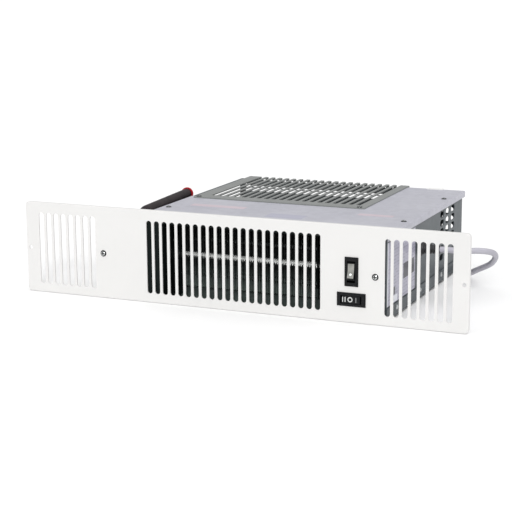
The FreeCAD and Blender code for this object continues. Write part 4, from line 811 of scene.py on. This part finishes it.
class HEATER_OT_switches(bpy.types.Operator):
    """Rocker switches and inner wiring: mouldings, smoked face plate, pilot lens and marks"""
    bl_idname = "heater.switches"
    bl_label = "Switches"

    def execute(self, context):
        black = mottled("switch black", (0.004, 0.0045, 0.0055), 0.85, 1.2, 150.0, 1500.0, 0.00003,
                        roughness=0.36, specular=0.22)
        dress(black.material, "season_switch_housing", "speed_switch_housing", "speed_rocker",
              "season_rocker")
        wire = mottled("wire insulation", (0.2, 0.1, 0.05), 0.7, 1.3, 25.0, 900.0, 0.00002,
                       roughness=0.4)
        dress(wire.material, "internal_wires")
        sheath = mottled("inner sheath", tuple(colours().cable), roughness=0.4)
        dress(sheath.material, "cable_inner")
        self.face_plate()
        self.lens_ring()
        self.marks()
        return {"FINISHED"}

    def seat(self):
        """From the season rocker's middle position about its pivot to its place at rest."""
        x, depth, z = SEASON_PIVOT
        pivot = Matrix.Translation((0, depth * MM, 0))
        swing = pivot @ Matrix.Rotation(SEASON_REST, 4, "X") @ pivot.inverted()
        return Matrix.Translation(at(x, 0.0, z)) @ swing

    def face_plate(self):
        fall = FACE_PLATE_HALF * SEASON_SLOPE
        plate = bevelled_block((FACE_PLATE_W, FACE_PLATE_T, 2 * FACE_PLATE_HALF), 0.0001)
        bpy.ops.object.mode_set(mode="EDIT")
        bpy.ops.mesh.select_all(action="SELECT")
        bpy.ops.mesh.bisect(plane_co=(0, 0, 0), plane_no=(0, 0, 1))
        select_where(plate, "verts", lambda v: abs(v.co.z) < 0.0001)
        bpy.ops.transform.translate(value=(0, fall, 0))
        bpy.ops.object.mode_set(mode="OBJECT")
        plate.data.transform(Matrix.Translation((0, SEASON_VALLEY * MM - fall, 0)))
        plate.data.transform(self.seat())
        smoke = Maker("smoked face", roughness=0.3, coat=0.15)
        glow = smoke.ramp(smoke.noise(260.0, 3.0), [(0.3, (0.2, 0.2, 0.185)),
                                                    (0.7, (0.3, 0.3, 0.28))])
        smoke.colour(glow)
        smoke.bump(smoke.noise(1200.0, 2.0), 0.1, 0.00002)
        finish_piece(plate, "season_face_plate", smoke.material, "season_switch")

    def lens_ring(self):
        slope = math.atan(SEASON_SLOPE)
        out = Vector((0, -math.cos(slope), math.sin(slope)))
        centre = Vector((0, (SEASON_VALLEY + LENS_DROP * SEASON_SLOPE) * MM, LENS_DROP * MM))
        ring = spin_profile(RING_PROFILE, centre, out, LENS_FACETS)
        grey = mottled("ring grey", (0.09, 0.09, 0.085), roughness=0.4)
        finish_piece(ring, "lens_ring", grey.material, "season_switch")
        ring.data.transform(self.seat())
        lens = spin_profile(LENS_PROFILE, centre, out, LENS_FACETS)
        clear = mottled("pilot lens", (0.8, 0.82, 0.8), roughness=0.12, coat=0.5)
        finish_piece(lens, "pilot_lens", clear.material, "season_switch")
        lens.data.transform(self.seat())
        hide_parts("rocker_lens")

    def marks(self):
        """Two bars, a ring and one bar for high, off and low."""
        paint = mottled("mark paint", (0.6, 0.61, 0.6), 0.8, 1.1, 500.0, 1800.0, 0.00001,
                        roughness=0.5)
        faint = mottled("worn mark paint", (0.22, 0.225, 0.225), 0.7, 1.2, 500.0, 1800.0, 0.00001,
                        roughness=0.5)
        x, z = SPEED_CENTRE
        for name, along, coat in (("high_a", -8.6, paint), ("high_b", -6.1, paint),
                                  ("low", 5.3, faint)):
            depth = SPEED_VALLEY - abs(along) * SPEED_SLOPE
            bar = bevelled_block(BAR_SIZE, 0.00006, at(x + along, depth, z))
            finish_piece(bar, "mark_" + name, coat.material, "speed_switch")
        place = at(x + OFF_ALONG, SPEED_VALLEY + OFF_RAISE, z)
        ring = spin_profile(OFF_PROFILE, place, FRONTWARD, OFF_FACETS)
        finish_piece(ring, "mark_off", paint.material, "speed_switch")


TIE_BAND_W = 0.0046
TIE_BAND_T = 0.0011
TIE_HEAD = (0.0066, 0.0054, 0.0036)
TIE_HEAD_SLOT = (0.0038, 0.012, 0.0016)
TIE_HEAD_SHIFT = 0.004


class HEATER_OT_coil_tie(bpy.types.Operator):
    """Nylon tie that holds the put-away coil of cable"""
    bl_idname = "heater.coil_tie"
    bl_label = "Coil tie"

    def execute(self, context):
        s = sizes()
        centre = coil_start()[1]
        middle = (s.coil_outer + s.coil_inner) / 2
        wide = s.coil_outer - s.coil_inner + s.cable_d + 0.0012
        high = s.coil_lap + s.cable_d + 0.001
        place = (centre.x, centre.y - middle, high / 2)
        band = bevelled_block((TIE_BAND_W, wide, high), 0.0012, place)
        bpy.ops.object.mode_set(mode="EDIT")
        select_where(band, "faces", lambda f: abs(f.normal.x) > 0.9)
        bpy.ops.mesh.delete(type="FACE")
        bpy.ops.object.mode_set(mode="OBJECT")
        wall = band.modifiers.new("wall", "SOLIDIFY")
        wall.thickness = TIE_BAND_T
        wall.offset = -1.0
        bpy.ops.object.modifier_apply(modifier="wall")
        nylon = mottled("tie nylon", (0.02, 0.02, 0.02), 0.9, 1.2, 80.0, 900.0, 0.00002,
                        roughness=0.35)
        finish_piece(band, "coil_tie", nylon.material)
        head_y = centre.y - middle - TIE_HEAD_SHIFT
        head = bevelled_block(TIE_HEAD, 0.0006, (centre.x, head_y, high + 0.0012))
        cut_away(head, bevelled_block(TIE_HEAD_SLOT, 0.0002, (centre.x, head_y, high + 0.0014)))
        finish_piece(head, "coil_tie_head", nylon.material)
        return {"FINISHED"}


# ------------------------------------------------------------------ stage
CAMERA_TURN = math.radians(23.49)
CAMERA_RISE = math.radians(12.12)
CAMERA_ROLL = math.radians(-0.36)
CAMERA_RANGE = 1.48585
CAMERA_LENS = 101.74
CAMERA_SENSOR = 36.0
CAMERA_AIM = at(24.93, 0.0, 60.51)
FLOOR_SIZE = 30
FLOOR_DROP = 0.0002
SKY_STRENGTH = 0.6
LAMPS = (("key", (0.4, -1.0, 0.62), 18, 1.6), ("top", (0.1, -0.2, 1.5), 60, 0.95),
         ("rim", (0.6, 0.9, 1.2), 60, 0.25))


class HEATER_OT_stage(bpy.types.Operator):
    """Pale floor, soft light and the camera"""
    bl_idname = "heater.stage"
    bl_label = "Stage"

    def execute(self, context):
        start_clean()
        bpy.ops.mesh.primitive_plane_add(size=FLOOR_SIZE, location=(0, 0, -FLOOR_DROP))
        floor = context.object
        floor.name = "floor"
        paper = mottled("pale floor", (0.9, 0.9, 0.9), 0.995, 1.0, 2.0, 60.0, 0.00001,
                        roughness=0.8)
        floor.data.materials.append(paper.material)
        world = bpy.data.worlds.new("studio")
        world.use_nodes = True
        world.node_tree.nodes["Background"].inputs["Color"].default_value = (1, 1, 1, 1)
        world.node_tree.nodes["Background"].inputs["Strength"].default_value = SKY_STRENGTH
        context.scene.world = world
        context.scene.view_settings.view_transform = "Standard"
        for name, place, spread, power in LAMPS:
            lamp = bpy.data.lights.new(name, "SUN")
            lamp.angle = math.radians(spread)
            lamp.energy = power
            light = bpy.data.objects.new(name, lamp)
            light.location = place
            light.rotation_euler = (-Vector(place)).to_track_quat("-Z", "Y").to_euler()
            context.scene.collection.objects.link(light)
        self.camera(context)
        return {"FINISHED"}

    def camera(self, context):
        a, e, r = CAMERA_TURN, CAMERA_RISE, CAMERA_ROLL
        back = Vector((math.sin(a) * math.cos(e), -math.cos(a) * math.cos(e), math.sin(e)))
        right = Vector((math.cos(a), math.sin(a), 0))
        up = back.cross(right)
        level = right * math.cos(r) + up * math.sin(r)
        rise = up * math.cos(r) - right * math.sin(r)
        view = bpy.data.cameras.new("camera")
        view.lens = CAMERA_LENS
        view.sensor_width = CAMERA_SENSOR
        camera = bpy.data.objects.new("camera", view)
        turn = Matrix((level, rise, back)).transposed().to_4x4()
        camera.matrix_world = Matrix.Translation(CAMERA_AIM + back * CAMERA_RANGE) @ turn
        context.scene.collection.objects.link(camera)
        context.scene.camera = camera


OPERATORS = (HEATER_OT_stage, HEATER_OT_supply_cable, HEATER_OT_strain_relief, HEATER_OT_coil_tie,
             HEATER_OT_front, HEATER_OT_screws, HEATER_OT_case, HEATER_OT_air_path,
             HEATER_OT_water_side, HEATER_OT_switches)


class HEATER_PT_panel(bpy.types.Panel):
    """Lists the pieces of the heater"""
    bl_label = "Heater"
    bl_space_type = "VIEW_3D"
    bl_region_type = "UI"
    bl_category = "Heater"

    def draw(self, context):
        for operator in OPERATORS:
            self.layout.operator(operator.bl_idname)


CLASSES = (HeaterSizes, HeaterColours, HEATER_PT_panel) + OPERATORS


def register():
    for item in CLASSES:
        bpy.utils.register_class(item)
    bpy.types.Scene.heater_sizes = PointerProperty(type=HeaterSizes)
    bpy.types.Scene.heater_colours = PointerProperty(type=HeaterColours)


def unregister():
    del bpy.types.Scene.heater_colours
    del bpy.types.Scene.heater_sizes
    for item in reversed(CLASSES):
        bpy.utils.unregister_class(item)


def main():
    register()
    for operator in OPERATORS:
        group, name = operator.bl_idname.split(".")
        getattr(getattr(bpy.ops, group), name)()


if __name__ == "__main__":
    main()
